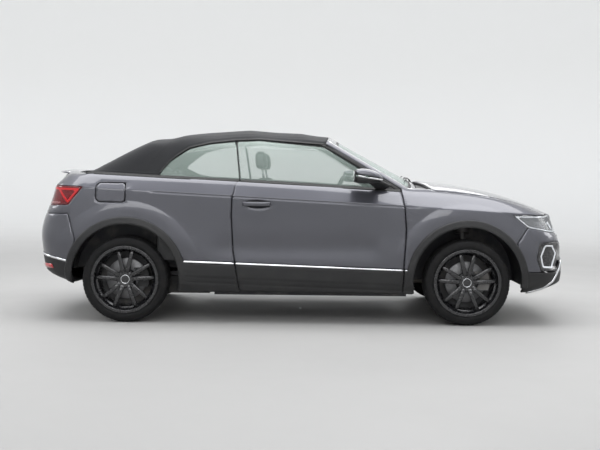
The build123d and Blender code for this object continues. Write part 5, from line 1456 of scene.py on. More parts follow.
past_header = (top_x - SCREEN_FOOT[0]) * screen_up[0] + (top_z -
                                                         SCREEN_FOOT[1]) * screen_up[1] - screen_run - 9
window_in = inside(WINDOW, top_x, top_z)
rear_glass_in = np.where(top_x < REAR_AXLE + 250, low_of(inside(REAR_GLASS, top_y, top_z), 60.0, 10.0), -1e3)
above_foot = np.where(top_x < REAR_AXLE + 300, top_z - height_on(TOP_FOOT, top_x), 1e3)
fabric_in = least(-window_in, past_header, above_foot, -rear_glass_in)
# Welts: raised lines where the cloth's pieces are sewn, along the roof's sides and the rear window.
roof_welt = np.where(top_z > 1400, np.abs(np.abs(top_y) - 455 - 0.03 * (top_x + 300)), 1e3)
side_welt = np.abs(inside([(REAR_AXLE + 90, 1100), (REAR_AXLE + 160, 1240), (REAR_AXLE + 300, 1400),
                           (REAR_AXLE + 330, 1600),
                           (REAR_AXLE - 900, 1600), (REAR_AXLE - 900, 1100)], top_x, top_z))
welt = 1.6 * np.exp(-(np.minimum(roof_welt, np.where(top_y > 430, side_welt, 1e3)) / 6.0) ** 2)
welt = welt + 1.2 * np.exp(-((-window_in - 26) / 4.0) ** 2) + 1.4 * np.exp(-((above_foot - 24) / 4.0) ** 2)
welt = welt + 1.2 * np.exp(-((-rear_glass_in - 24) / 4.0) ** 2) * (top_x < REAR_AXLE + 200)
fabric = Finish("charcoal_top_cloth", (0.010, 0.0105, 0.0115), 0.85, sheen_weight=0.06, sheen_roughness=0.5,
                specular_ior_level=0.25)
cloth_x, cloth_y, cloth_z = fabric.axes()
warp = abs((cloth_x * 1400.0).maths("SINE", cloth_x * 1400.0))
weft = abs((cloth_y * 1400.0 + cloth_z * 1400.0).maths("SINE", cloth_y * 1400.0 + cloth_z * 1400.0))
thread = warp * weft
fade = fabric.noise(3.0, 4.0)
fabric.set(**{"Base Color": fabric.mix(thread * 0.5 + fade * 0.35, (0.0075, 0.008, 0.009),
                                       (0.021, 0.022, 0.0245))})
fabric.set(Roughness=fade.step(0.3, 0.8, 0.78, 0.92))
fabric.bump(thread, 0.35, 0.0004)
fabric.bump(fabric.noise(9.0, 3.0), 0.12, 0.004)


def top_panel(name, keep, body, slot, finish, thickness, replaced=(), depth=0.0, both=True, side=None,
              edge=3.0, proud=0.0):
    """A sheet cut from the surface of the top and its glass, at a depth inside it."""
    lifted = top - top_out * np.broadcast_to(np.asarray(depth, float), top_x.shape)[..., None]
    mesh = cut_out(lifted, keep, edge, proud, top_out)
    if both:
        mesh = joined(mesh, mirrored(mesh))
    elif side == "right":
        mesh = mirrored(mesh)
    piece = put(name, *mesh, body, slot, finish.material, replaced)
    return thicken(merge_seam(piece) if both else piece, thickness)


top_sheet = top_panel("fabric_top", fabric_in, "body", "top_fabric", fabric, 4.0, ["soft_top"], depth=-welt)
headliner = Finish("grey_headliner", (0.075, 0.078, 0.08), 0.9, sheen_weight=0.2)
nap = headliner.noise(700.0, 3.0)
headliner.set(**{"Base Color": headliner.mix(nap, (0.062, 0.065, 0.067), (0.088, 0.091, 0.094))})
headliner.set(Roughness=nap.step(0.3, 0.8, 0.82, 0.95))
headliner.bump(nap, 0.3, 0.0005)
top_panel("top_lining", fabric_in - 6, "body", "top_fabric", headliner, 2.0, depth=20.0, edge=1.0)
top_panel("window_welt", least(-window_in + 3, 9 + window_in, past_header,
                               np.where(top_z > height_on(BELT, top_x), 1e3, -1e3)),
          "body", "black_plastic", seal_rubber, 14.0, depth=-2.0)
top_panel("top_hem", least(above_foot + 2, 10 - above_foot, -window_in - 4,
                           np.where(top_x < REAR_AXLE + 290, 1e3, -1e3)),
          "body", "black_plastic", seal_rubber, 12.0, depth=-2.5)

# ------------------------------------------------------------------------------ side and rear glass
# Toughened, faintly green panes: one that winds in each door, one in each quarter, and a
# heated rear window bonded into the fabric. Rubber seals close every edge.
DOOR_GLASS = [(REAR_AXLE + 884, 1040), (REAR_AXLE + 838, 1414), (FRONT_AXLE - 1614, 1424),
              (FRONT_AXLE - 1110, 1376), (FRONT_AXLE - 529, 1028), (FRONT_AXLE - 529, 1000)]
QUARTER_GLASS = [(REAR_AXLE + 872, 1060), (REAR_AXLE + 826, 1415), (REAR_AXLE + 621, 1393),
                 (REAR_AXLE + 464, 1353),
                 (REAR_AXLE + 359, 1282), (REAR_AXLE + 315, 1243), (REAR_AXLE + 246, 1155),
                 (REAR_AXLE + 238, 1080)]
PANE_DEPTH = 7.0
SAIL_X = FRONT_AXLE - 712
over_belt = top_z - height_on(BELT, top_x)
door_pane = least(inside(DOOR_GLASS, top_x, top_z), over_belt)
quarter_pane = least(inside(QUARTER_GLASS, top_x, top_z), over_belt)
rows_of_wire = np.clip(np.cos((top_z - 1240) * 2 * math.pi / 26), 0, 1) ** 30
for side, sign in SIDES:
    top_panel(f"door_pane_{side}", least(door_pane, SAIL_X + 4 - top_x), f"door_{side}", "side_glass",
              side_glass, 4.0, [f"door_glass_{side}"], PANE_DEPTH, False, side, edge=1.0)
    top_panel(f"door_sail_{side}", least(door_pane, top_x - SAIL_X), f"door_{side}", "black_plastic",
              black_plastic, 10.0, (), PANE_DEPTH - 5, False, side)
    top_panel(f"door_pane_edge_{side}", least(door_pane, 6 - inside(DOOR_GLASS, top_x, top_z), SAIL_X - top_x,
                                              over_belt - 4), f"door_{side}", "side_glass", dark_border, 1.0,
                                              (),
              PANE_DEPTH - 1.4, False, side, edge=0.5)
top_panel("quarter_panes", quarter_pane, "body", "side_glass", side_glass, 4.0, ["quarter_glasses"],
          PANE_DEPTH, edge=1.0)
top_panel("quarter_pane_edge", least(quarter_pane, 7 - inside(QUARTER_GLASS, top_x, top_z)), "body",
          "side_glass", dark_border, 1.0, depth=PANE_DEPTH - 1.4, edge=0.5)
QUARTER_TRIM = [(REAR_AXLE + 60, 1080), (REAR_AXLE + 140, 1190), (REAR_AXLE + 205, 1262),
                (REAR_AXLE + 405, 1160), (REAR_AXLE + 640, 1121), (REAR_AXLE + 700, 1080)]
top_panel("quarter_trim", inside(QUARTER_TRIM, top_x, top_z), "body", "dash_plastic", trim_cloth, 4.0,
          depth=44.0, edge=2.0)
POST = [(REAR_AXLE + 878, 1060), (REAR_AXLE + 832, 1425)]
top_panel("centre_post_seal", least(band_about(POST, 9.0, top_x, top_z), over_belt), "body", "black_plastic",
          seal_rubber, 10.0, depth=PANE_DEPTH + 5.0)
outside_glass = inside([*DOOR_GLASS[:4], (FRONT_AXLE - 500, 1010), (FRONT_AXLE - 529, 990)], top_x, top_z)
top_panel("pillar_seals", least(-outside_glass - 1, 26 + outside_glass, over_belt - 3,
                                np.where(top_x > HEADER[0] - 90, 1e3, -1e3)),
          "body", "black_plastic", seal_rubber, 10.0, depth=1.0)
top_panel("rear_pane", rear_glass_in + 6, "body", "screen_glass", screen_glass, 4.0, ["rear_window"], 4.0,
          edge=1.0)
top_panel("rear_pane_border", least(rear_glass_in + 6, 16 - rear_glass_in), "body", "screen_glass",
          dark_border, 1.0, depth=1.6, edge=0.5)
copper = Finish("heater_wire", (0.16, 0.07, 0.03), 0.5, metallic=0.4)
copper.set(Roughness=copper.noise(200.0, 2.0).step(0.3, 0.7, 0.4, 0.6))
top_panel("rear_pane_wires", least(rear_glass_in - 22, rows_of_wire - 0.5), "body", "screen_glass", copper,
          0.6, depth=3.4, edge=0.2)

belt_edge = body_shell(around, np.full_like(around, 1066.0))
glass_edge = top_shell(top_around, np.full_like(top_around, 1062.0))


def belt_strip(x0, x1, section, count=90):
    """A moulding along the belt: each section corner is a share of the way from the painted
    edge to the glass, plus an offset across and up."""
    x = np.linspace(x0, x1, count)
    order, glass_order = np.argsort(belt_edge[:, 0]), np.argsort(glass_edge[:, 0])
    painted = np.interp(x, belt_edge[order, 0], belt_edge[order, 1])
    glass = np.interp(x, glass_edge[glass_order, 0], glass_edge[glass_order, 1]) - PANE_DEPTH
    z = height_on(BELT, x)
    rings = [np.stack([x, painted + part * (glass - painted) + out, z + up], axis=1) for part, out,
             up in section]
    return swept(np.stack(rings, axis=1))


SEAL = [(0, -1, -12), (0, -1, -2), (0, -7, 4), (1, 8, 7), (1, 3, 15), (1, 1.5, 14), (1, 1.5, -8),
        (0, -16, -16)]
ROLL = [(1, -6, -14), (1, -6, 5), (1, -12, 11), (1, -34, 10), (1, -46, -2), (1, -46, -40), (1, -38, -60),
        (1, -24, -30)]
for side, sign in SIDES:
    turn = mirrored if sign < 0 else (lambda mesh: mesh)
    solid(f"door_belt_seal_{side}", turn(belt_strip(REAR_AXLE + 879, FRONT_AXLE - 512, SEAL)), f"door_{side}",
          "black_plastic", seal_rubber)
    solid(f"door_inner_roll_{side}", turn(belt_strip(REAR_AXLE + 890, FRONT_AXLE - 520, ROLL)),
          f"door_{side}", "dash_plastic", trim_cloth)
    solid(f"quarter_belt_seal_{side}", turn(belt_strip(REAR_AXLE - 330, REAR_AXLE + 866, SEAL)), "body",
          "black_plastic", seal_rubber)

# ------------------------------------------------------------------------------ mirrors
# Door mirrors: a painted cap over a black shell with a clear indicator, on a black foot
# that is screwed to the door's front corner, and a silvered glass that faces back.
MIRROR_SIDE = [(FRONT_AXLE - 884, 1104), (FRONT_AXLE - 888, 1150), (FRONT_AXLE - 880, 1184),
               (FRONT_AXLE - 836, 1199),
               (FRONT_AXLE - 776, 1196), (FRONT_AXLE - 716, 1176), (FRONT_AXLE - 676, 1144),
               (FRONT_AXLE - 664, 1118),
               (FRONT_AXLE - 688, 1096), (FRONT_AXLE - 766, 1087), (FRONT_AXLE - 850, 1088)]
MIRROR_IN, MIRROR_OUT = 800.0, CAD_BOX[1].y * 1000 - 1.0


def across_car(outline, y0, y1, count=60, around_count=96, power=3.5, least_size=0.04):
    """A side outline carried across the car and drawn in towards its middle near both ends
    as a superellipse does, as a grid of rings."""
    ring = smooth_path(outline, around_count, True)
    middle = ring.mean(axis=0)
    t = np.sin(np.linspace(-math.pi / 2, math.pi / 2, count)) * 0.9995
    size = np.maximum((1 - np.abs(t) ** power) ** (1 / power), least_size)[:, None, None]
    flat = middle + (ring - middle) * size
    y = (y0 + y1) / 2 + t * (y1 - y0) / 2
    return np.stack([flat[..., 0], np.broadcast_to(y[:, None], flat.shape[:2]), flat[..., 1]], axis=-1)


shell = across_car(MIRROR_SIDE, MIRROR_IN, MIRROR_OUT)
shell = np.concatenate([shell, shell[:, :1]], axis=1)
cap_edge = shell[..., 2] - 1147 + 0.16 * (shell[..., 0] - FRONT_AXLE + 776)
lens_edge = 7 - np.abs(cap_edge + 15)
facing_back = FRONT_AXLE - 872 - shell[..., 0]
mirror_silver = Finish("mirror_silver", (0.85, 0.87, 0.88), 0.03, metallic=1.0)
mirror_silver.set(Roughness=mirror_silver.noise(25.0, 2.0).step(0.3, 0.8, 0.02, 0.05))
indicator = Finish("indicator_lens", (0.75, 0.76, 0.78), 0.12, coat_weight=1.0, metallic=0.5)
indicator.set(Roughness=indicator.noise(150.0, 2.0).step(0.3, 0.7, 0.1, 0.25))
mirror_turn = np.sum(outward(shell)[30] * (shell[30] - shell[30].mean(axis=0)))
out_of_mirror = outward(shell) * np.where(mirror_turn > 0, 1, -1)
for side, sign in SIDES:
    turn = mirrored if sign < 0 else (lambda mesh: mesh)
    body = f"door_{side}"
    flip = (lambda mesh: (mesh[0], mesh[1][:, ::-1])) if mirror_turn < 0 else (lambda mesh: mesh)
    for name, keep, finish, slot, proud, replaced in (
            ("mirror_cap", least(cap_edge, -facing_back), paint, "paint", 0.0, [f"mirror_{side}"]),
            ("mirror_shell", least(-cap_edge - 1, -lens_edge), black_plastic, "black_plastic", -1.0, ()),
            ("mirror_indicator", least(lens_edge - 1, -facing_back - 14, shell[..., 1] - MIRROR_IN - 40),
             indicator, "lamp_clear", 0.5, ())):
        mesh = flip(cut_out(shell, keep, 2.0, proud, out_of_mirror))
        thicken(put(f"{name}_{side}", *turn(mesh), body, slot, finish.material, replaced), 3.0)
    rim = pad((FRONT_AXLE - 879, 898, 1143), (0, 1, 0), (0, 0, 1), 176, 94, 12, 4.0)
    solid(f"mirror_rim_{side}", turn(rim), body, "black_plastic", black_plastic)
    pane = pad((FRONT_AXLE - 885.5, 898, 1143), (0, 1, 0), (0, 0, 1), 162, 82, 3, 4.0)
    solid(f"mirror_glass_{side}", turn(pane), body, "black_plastic", mirror_silver)
    foot_path = smooth_path([(FRONT_AXLE - 740, 850, 1112), (FRONT_AXLE - 700, 812, 1088),
                             (FRONT_AXLE - 664, 782, 1066), (FRONT_AXLE - 640, 758, 1052)], 24)
    foot = bar(foot_path, np.linspace(74, 120, 24), np.linspace(40, 30, 24), ref=(0, -0.6, 0.8), sides=20)
    solid(f"mirror_foot_{side}", turn(foot), body, "black_plastic", black_plastic)

# ------------------------------------------------------------------------------ dashboard
# A padded, grained moulding over the firewall with a hooded display, a centre screen, four
# round-cornered vents, a glove box line and a console with the gear lever.
DASH_SIDE = [(FRONT_AXLE - 482, 650), (FRONT_AXLE - 482, 900), (FRONT_AXLE - 486, 1016),
             (FRONT_AXLE - 560, 1036),
             (FRONT_AXLE - 680, 1030), (FRONT_AXLE - 780, 1006), (FRONT_AXLE - 832, 968),
             (FRONT_AXLE - 846, 905),
             (FRONT_AXLE - 822, 860), (FRONT_AXLE - 812, 800), (FRONT_AXLE - 790, 720),
             (FRONT_AXLE - 720, 652)]
DASH_HALF = 650.0
DRIVER_Y = 370.0
soft_plastic = Finish("soft_dash_plastic", (0.020, 0.020, 0.021), 0.62, specular_ior_level=0.4)
dash_grain = soft_plastic.noise(420.0, 3.0)
soft_plastic.set(**{"Base Color": soft_plastic.mix(dash_grain, (0.016, 0.016, 0.017), (0.027, 0.027, 0.028))})
soft_plastic.set(Roughness=dash_grain.step(0.25, 0.75, 0.52, 0.72))
soft_plastic.bump(dash_grain, 0.4, 0.0004)
display_glass = Finish("display_glass", (0.006, 0.007, 0.009), 0.1, coat_weight=1.0)
display_glass.set(Roughness=display_glass.noise(12.0, 3.0).step(0.3, 0.8, 0.07, 0.18))


def dash_mesh():
    """The side outline carried across the car. It swells round the driver's display, and a
    soft groove runs along its face."""
    grid = across_car(DASH_SIDE, -DASH_HALF, DASH_HALF, 130, 150, 14.0, 0.3)
    x, y, z = grid[..., 0], grid[..., 1], grid[..., 2]
    hood = np.exp(-np.abs((y - DRIVER_Y) / 175) ** 4)
    on_top = rise((z - 930) / 70)
    facing = rise((FRONT_AXLE - 640 - x) / 120)
    z = z + 36 * hood * on_top * facing
    x = x - 22 * hood * on_top * facing + 7 * np.exp(-((z - 852) / 6) ** 2) * facing
    x = x + 12 * np.exp(-((z - 893) / 14) ** 2) * facing
    return swept(np.stack([x, y, z], axis=-1))


solid("dash_pad", dash_mesh(), "body", "dash_plastic", soft_plastic, ["dashboard"])
LEAN = (0.26, 0, 0.966)
face_up = np.array(LEAN) / np.linalg.norm(LEAN)
for name, y, z, x, width, height, finish in (
        ("driver_display", DRIVER_Y, 990, FRONT_AXLE - 866, 262, 106, display_glass),
        ("centre_screen", 0, 962, FRONT_AXLE - 846, 232, 132, display_glass),
        ("climate_panel", 0, 812, FRONT_AXLE - 822, 220, 46, gloss_black),
        ("glove_box_lid", -375, 770, FRONT_AXLE - 806, 380, 150, soft_plastic),
        ("passenger_trim", -360, 893, FRONT_AXLE - 846, 460, 40, gloss_black)):
    solid(name, pad((x, y, z), (0, 1, 0), face_up, width, height, 14, 8.0), "body", "dash_plastic", finish)
for number, (y, z) in enumerate(((598, 940), (168, 950), (-168, 950), (-598, 940))):
    at = np.array((FRONT_AXLE - 842.0, y, z))
    ring = pad(at, (0, 1, 0), face_up, 92, 78, 16, 5.0)
    slats = [pad(at + face_up * step - (8, 0, 0), (0, 1, 0), face_up, 76, 5, 8, 6.0)
             for step in (-24, -12, 0, 12, 24)]
    solid(f"air_vent_{number + 1}", ring, "body", "dash_plastic", gloss_black)
    solid(f"air_vent_slats_{number + 1}", joined(*slats), "body", "dash_plastic", bright_trim)

CONSOLE_TOP = [(FRONT_AXLE - 484, 700), (FRONT_AXLE - 640, 664), (FRONT_AXLE - 900, 612),
               (FRONT_AXLE - 1020, 586), (FRONT_AXLE - 1150, 556)]
console_x = np.linspace(FRONT_AXLE - 490, FRONT_AXLE - 1148, 40)
console_z = height_on(CONSOLE_TOP, console_x)
console_low = 345.0
console_rings = []
for x, z in zip(console_x, console_z):
    ring = rounded_section(206, z - console_low, 40, 6.0)
    console_rings.append(np.stack([np.full(40, x), ring[:, 0], (z + console_low) / 2 + ring[:, 1]], axis=1))
solid("centre_console", swept(np.array(console_rings)), "body", "dash_plastic", soft_plastic)
tray_up = np.array([0.2, 0, 0.98])
solid("console_tray", pad((FRONT_AXLE - 830, 0, 632), (0, 1, 0), (-0.98, 0, -0.2), 170, 250, 8, 6.0), "body",
      "dash_plastic", gloss_black)
gaiter = bar([(FRONT_AXLE - 880, 0, 616), (FRONT_AXLE - 886, 0, 640), (FRONT_AXLE - 892, 0, 668)],
             [84, 58, 30], [84, 58, 30], ref=(1, 0, 0), sides=24, power=2.6)
lever = bar(smooth_path([(FRONT_AXLE - 892, 0, 662), (FRONT_AXLE - 897, 0, 700), (FRONT_AXLE - 902, 0, 738)],
                        12),
            np.array([22, 20, 20, 22, 30, 40, 46, 48, 48, 44, 34, 16]),
            np.array([18, 17, 17, 19, 26, 34, 40, 42, 42, 40, 30, 14]), ref=(1, 0, 0), sides=24, power=2.4)
solid("gear_lever_gaiter", gaiter, "body", "dash_plastic", trim_cloth)
solid("gear_lever", lever, "body", "dash_plastic", gloss_black)
mirror_stem = bar([(FRONT_AXLE - 985, 0, 1418), (FRONT_AXLE - 1000, 0, 1398), (FRONT_AXLE - 1012, 0, 1372)],
                  18, 14, ref=(0, 1, 0))
inner_mirror = pad((FRONT_AXLE - 1016, 0, 1358), (0, 1, 0), (0.1, 0, 0.995), 226, 62, 22, 4.0)
solid("inside_mirror", joined(mirror_stem, inner_mirror), "body", "black_plastic", black_plastic)
solid("inside_mirror_glass", pad((FRONT_AXLE - 1028, 0, 1359), (0, 1, 0), (0.1, 0, 0.995), 208, 50, 3, 4.0),
      "body", "black_plastic", mirror_silver)

# ------------------------------------------------------------------------------ steering wheel
# A leather rim on an alloy frame with three spokes and a plain padded boss, on a column that
# comes out of the dashboard at 24 degrees.
STEERING_AT = np.array([FRONT_AXLE - 985, DRIVER_Y, 965.0])
STEERING_R, RIM_TUBE = 182.0, 15.0
COLUMN = math.radians(24)
to_driver = np.array([-math.cos(COLUMN), 0.0, math.sin(COLUMN)])
wheel_up = np.array([math.sin(COLUMN), 0.0, math.cos(COLUMN)])
wheel_left = np.array([0.0, 1.0, 0.0])
leather = Finish("black_leather", (0.022, 0.022, 0.023), 0.5, specular_ior_level=0.45)
hide = leather.node("TexVoronoi", {"feature": "DISTANCE_TO_EDGE"}, None, None, 380.0)
leather.feed(hide.inputs["Vector"], leather.place())
pebble = Value(leather, hide.outputs["Distance"]).step(0.0, 0.25)
hide_tone = leather.noise(8.0, 4.0)
leather.set(**{"Base Color": leather.mix(hide_tone.step(0.3, 0.8), (0.018, 0.018, 0.019),
                                         (0.033, 0.032, 0.032))})
leather.set(Roughness=hide_tone.step(0.2, 0.8, 0.42, 0.58))
leather.bump(pebble, 0.25, 0.0005)
leather.bump(hide_tone, 0.15, 0.003)


def on_wheel(left, up, out):
    across_wheel = np.multiply.outer(left, wheel_left)
    return STEERING_AT + across_wheel + np.multiply.outer(up, wheel_up) + np.multiply.outer(out, to_driver)


turn_a = np.linspace(0, 2 * math.pi, 120, endpoint=False)[:, None]
turn_b = np.linspace(0, 2 * math.pi, 18, endpoint=False)[None, :]
grip = 1 + 0.16 * np.exp(-((np.abs(np.cos(turn_a)) - 0.86) / 0.12) ** 2)
tube = RIM_TUBE * 0.9 * grip
flat_foot = 1 - 0.05 * rise((-np.sin(turn_a) - 0.8) / 0.2)
radius = STEERING_R * flat_foot + tube * np.cos(turn_b)
rim_grid = on_wheel(radius * np.cos(turn_a), radius * np.sin(turn_a),
                    tube * 1.08 * np.sin(turn_b) + 0 * turn_a)
solid("steering_rim", (rim_grid.reshape(-1, 3), grid_faces(120, 18, True, True)), "steering_wheel",
      "steering_leather", leather, ["steering_wheel"])
spokes = []
for angle in (0.06, math.pi - 0.06, -math.pi / 2):
    reach = np.linspace(40, STEERING_R * (0.95 if angle < -1 else 1) - 4, 14)
    path = on_wheel(reach * math.cos(angle), reach * math.sin(angle), 12 - 18 * (reach / STEERING_R) ** 2)
    spokes.append(bar(path, np.linspace(58, 30, 14), np.linspace(22, 13, 14), ref=tuple(to_driver), sides=16))
solid("steering_spokes", joined(*spokes), "steering_wheel", "steering_leather", gloss_black)
boss_turn = np.linspace(0, 2 * math.pi, 48, endpoint=False)
boss_rings = []
for out, size in ((-28, 0.5), (-26, 0.9), (-6, 1.0), (12, 0.98), (21, 0.9), (26, 0.72), (28.5, 0.4),
                  (29, 0.1)):
    round_box = rounded_section(132 * size, 112 * size, 48, 3.0)
    boss_rings.append(on_wheel(round_box[:, 0], round_box[:, 1] - 4, np.full(48, float(out))))
solid("steering_boss", swept(np.array(boss_rings)), "steering_wheel", "steering_leather", leather)
column_path = np.array([STEERING_AT - to_driver * d for d in (34.0, 120.0, 190.0, 255.0)])
solid("steering_column", bar(column_path, [78, 92, 98, 98], [70, 92, 104, 104], ref=(0, 1, 0), sides=24),
      "body", "dash_plastic", soft_plastic)
for name, way in (("left", 1), ("right", -1)):
    stalk = bar([STEERING_AT - to_driver * 62 + wheel_left * way * d + wheel_up * 0.12 * d
                 for d in (30.0, 80.0, 150.0)],
                [20, 14, 18], [14, 10, 12], ref=tuple(to_driver))
    solid(f"stalk_{name}", stalk, "body", "dash_plastic", black_plastic)

# ------------------------------------------------------------------------------ seats
# Foam under black leather. Each front seat is a cushion, a back with side bolsters and a
# headrest on two steel posts, on a shell and two floor runners. The rear bench seats two.
VOXEL = 0.016
SEAT_X = REAR_AXLE + 1180
CUSHION = [(SEAT_X - 30, 425), (SEAT_X - 30, 500), (SEAT_X + 60, 520), (SEAT_X + 250, 535),
           (SEAT_X + 430, 552),
           (SEAT_X + 480, 535), (SEAT_X + 476, 450), (SEAT_X + 400, 412), (SEAT_X + 150, 410)]
BACK = [(SEAT_X - 62, 520), (SEAT_X + 45, 520), (SEAT_X + 40, 620), (SEAT_X - 5, 760), (SEAT_X - 50, 940),
        (SEAT_X - 92, 1112),
        (SEAT_X - 135, 1130), (SEAT_X - 180, 1112), (SEAT_X - 168, 900), (SEAT_X - 142, 700),
        (SEAT_X - 104, 600)]
HEADREST = [(SEAT_X - 196, 1200), (SEAT_X - 150, 1192), (SEAT_X - 112, 1204), (SEAT_X - 112, 1270),
            (SEAT_X - 124, 1318), (SEAT_X - 156, 1338), (SEAT_X - 204, 1322), (SEAT_X - 206, 1260)]
BENCH_X = REAR_AXLE - 180 + 394.3
BENCH_CUSHION = [(BENCH_X + 40, 392), (BENCH_X + 250, 386), (BENCH_X + 480, 390), (BENCH_X + 525, 440),
                 (BENCH_X + 524, 505),
                 (BENCH_X + 420, 514), (BENCH_X + 250, 503), (BENCH_X + 130, 494), (BENCH_X + 40, 470)]
BENCH_BACK = [(BENCH_X + 8, 500), (BENCH_X + 130, 505), (BENCH_X + 118, 640), (BENCH_X + 100, 860),
              (BENCH_X + 82, 1020), (BENCH_X + 50, 1046), (BENCH_X + 4, 1040), (BENCH_X + 2, 800)]
BENCH_REST = [(BENCH_X + 4, 1062), (BENCH_X + 66, 1062), (BENCH_X + 70, 1110), (BENCH_X + 58, 1176),
              (BENCH_X + 20, 1184), (BENCH_X + 2, 1160)]


def stuffed(name, grid, cap, node=()):
    """Leather over foam: the plain form is remeshed evenly, blown up by a cloth simulation
    whose movement is capped, and divided once more. Returns the piece."""
    rough = new_object(name + "_form", *[a * s for a, s in zip(swept(grid), (0.001, 1))])
    remesh = rough.modifiers.new("even", "REMESH")
    remesh.mode, remesh.voxel_size, remesh.use_smooth_shade = "VOXEL", VOXEL, True
    mesh = bpy.data.meshes.new_from_object(rough.evaluated_get(bpy.context.evaluated_depsgraph_get()))
    bpy.data.objects.remove(rough)
    piece = bpy.data.objects.new(name, mesh)
    bpy.context.scene.collection.objects.link(piece)
    start = points_of(piece)
    cloth = piece.modifiers.new("cloth", "CLOTH")
    cloth.settings.use_pressure = True
    cloth.settings.uniform_pressure_force = 4.0
    cloth.settings.effector_weights.gravity = 0.0
    cloth.settings.quality = 3
    cloth.point_cache.frame_start, cloth.point_cache.frame_end = 1, 20
    for number in range(1, 21):
        bpy.context.scene.frame_set(number)
    blown = points_of(piece.evaluated_get(bpy.context.evaluated_depsgraph_get()))
    move = blown - start
    length = np.maximum(np.linalg.norm(move, axis=1, keepdims=True), 1e-9)
    piece.modifiers.remove(cloth)
    bpy.context.scene.frame_set(1)
    move_points(piece, start + move * np.minimum(1.0, cap / 1000 / length))
    divide = piece.modifiers.new("divide", "SUBSURF")
    divide.levels = divide.render_levels = 1
    fine = bpy.data.meshes.new_from_object(piece.evaluated_get(bpy.context.evaluated_depsgraph_get()))
    piece.modifiers.clear()
    piece.data = fine
    fine.polygons.foreach_set("use_smooth", np.ones(len(fine.polygons), bool))
    fine.materials.clear()
    fine.materials.append(leather.material)
    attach(piece, "body")
    if node:
        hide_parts(*node)
    return piece


def points_of(piece):
    values = np.empty(len(piece.data.vertices) * 3, np.float32)
    piece.data.vertices.foreach_get("co", values)
    return values.reshape(-1, 3).astype(float)


def move_points(piece, points):
    piece.data.vertices.foreach_set("co", points.astype(np.float32).ravel())
    piece.data.update()


def sew(piece, depth_of):
    """Moves each point along its normal by a depth in millimetres worked out from its place
    and its normal: seams and channels in, bolsters out."""
    normals = np.empty(len(piece.data.vertices) * 3, np.float32)
    piece.data.vertices.foreach_get("normal", normals)
    normals = normals.reshape(-1, 3)
    points = points_of(piece)
    move_points(piece, points + normals * (depth_of(points * 1000, normals) / 1000)[:, None])


def valley(distance, width):
    return np.exp(-(distance / width) ** 2)


def back_relief(middle_y, half, seam_y, pitch, base):
    """Two upright seams, level channels between them, swollen sides and an edge seam."""
    def relief(p, n):
        y = np.abs(p[:, 1] - middle_y)
        front = rise((n[:, 0] - 0.15) / 0.3)
        between = rise((seam_y - y) / 10)
        level = valley(((p[:, 2] - base + pitch / 2) % pitch) - pitch / 2, 4.0)
        swell = 16 * valley(y - (seam_y + half) / 2 - 8, (half - seam_y) * 0.42) * rise((1090 - p[:, 2]) / 80)
        sewn = swell - 5 * valley(y - seam_y, 4.5) - 3.2 * between * level
        return front * sewn - 2.5 * valley(n[:, 0], 0.12)
    return relief


def cushion_relief(middle_y, half, seam_y, pitch, base):
    def relief(p, n):
        y = np.abs(p[:, 1] - middle_y)
        upper = rise((n[:, 2] - 0.15) / 0.3)
        between = rise((seam_y - y) / 10)
        across = valley(((p[:, 0] - base + pitch / 2) % pitch) - pitch / 2, 4.0)
        swell = 14 * valley(y - (seam_y + half) / 2 - 8, (half - seam_y) * 0.42)
        sewn = swell - 5 * valley(y - seam_y, 4.5) - 3.2 * between * across
        return upper * sewn - 2.5 * valley(n[:, 2] + 0.1, 0.12)
    return relief


def headrest_relief(p, n):
    return -2.5 * valley(n[:, 0], 0.1)


satin_steel = Finish("satin_steel", (0.5, 0.5, 0.51), 0.3, metallic=1.0)
satin_steel.set(Roughness=satin_steel.noise(80.0, 3.0).step(0.3, 0.7, 0.25, 0.42))
for side, sign in SIDES:
    y = sign * DRIVER_Y
    sew(stuffed(f"seat_cushion_{side}", across_car(CUSHION, y - 232, y + 232, 40, 80, 7.0, 0.5), 10,
                [f"seat_{side}"]),
        cushion_relief(y, 238, 140, 62, SEAT_X + 20))
    sew(stuffed(f"seat_back_{side}", across_car(BACK, y - 222, y + 222, 40, 100, 6.0, 0.4), 10),
        back_relief(y, 228, 132, 62, 560))
    sew(stuffed(f"seat_headrest_{side}", across_car(HEADREST, y - 122, y + 122, 40, 60, 3.2, 0.3), 6),
        headrest_relief)
    posts = [bar([(SEAT_X - 132, y + at, 1085), (SEAT_X - 146, y + at, 1150), (SEAT_X - 158, y + at, 1225)],
                 13, 13, ref=(0, 1, 0), power=2.0) for at in (-58, 58)]
    solid(f"headrest_posts_{side}", joined(*posts), "body", "cast_steel", satin_steel)
    shell_side = [(SEAT_X - 60, 330), (SEAT_X + 60, 318), (SEAT_X + 420, 330), (SEAT_X + 462, 400),
                  (SEAT_X + 466, 455),
                  (SEAT_X + 200, 430), (SEAT_X - 20, 440), (SEAT_X - 70, 560), (SEAT_X - 96, 560),
                  (SEAT_X - 84, 400)]
    solid(f"seat_shell_{side}", swept(across_car(shell_side, y - 238, y + 238, 30, 70, 9.0, 0.6)), "body",
          "dash_plastic", black_plastic)
    rails = [bar([(SEAT_X - 10, y + at, 262), (SEAT_X + 200, y + at, 262), (SEAT_X + 410, y + at, 262)], 40,
                 56, ref=(0, 1, 0))
             for at in (-190, 190)]
    feet = [bar([(SEAT_X + x, y + at, 285), (SEAT_X + x, y + at, 340)], 60, 34, ref=(1, 0, 0))
            for at in (-190, 190)
            for x in (30, 370)]
    solid(f"seat_rails_{side}", joined(*rails, *feet), "body", "cast_steel", satin_steel)
bench_cushion = stuffed("bench_cushion", across_car(BENCH_CUSHION, -548, 548, 60, 70, 9.0, 0.5), 8,
                        ["rear_bench"])
bench_back = stuffed("bench_back", across_car(BENCH_BACK, -548, 548, 60, 70, 9.0, 0.5), 8)


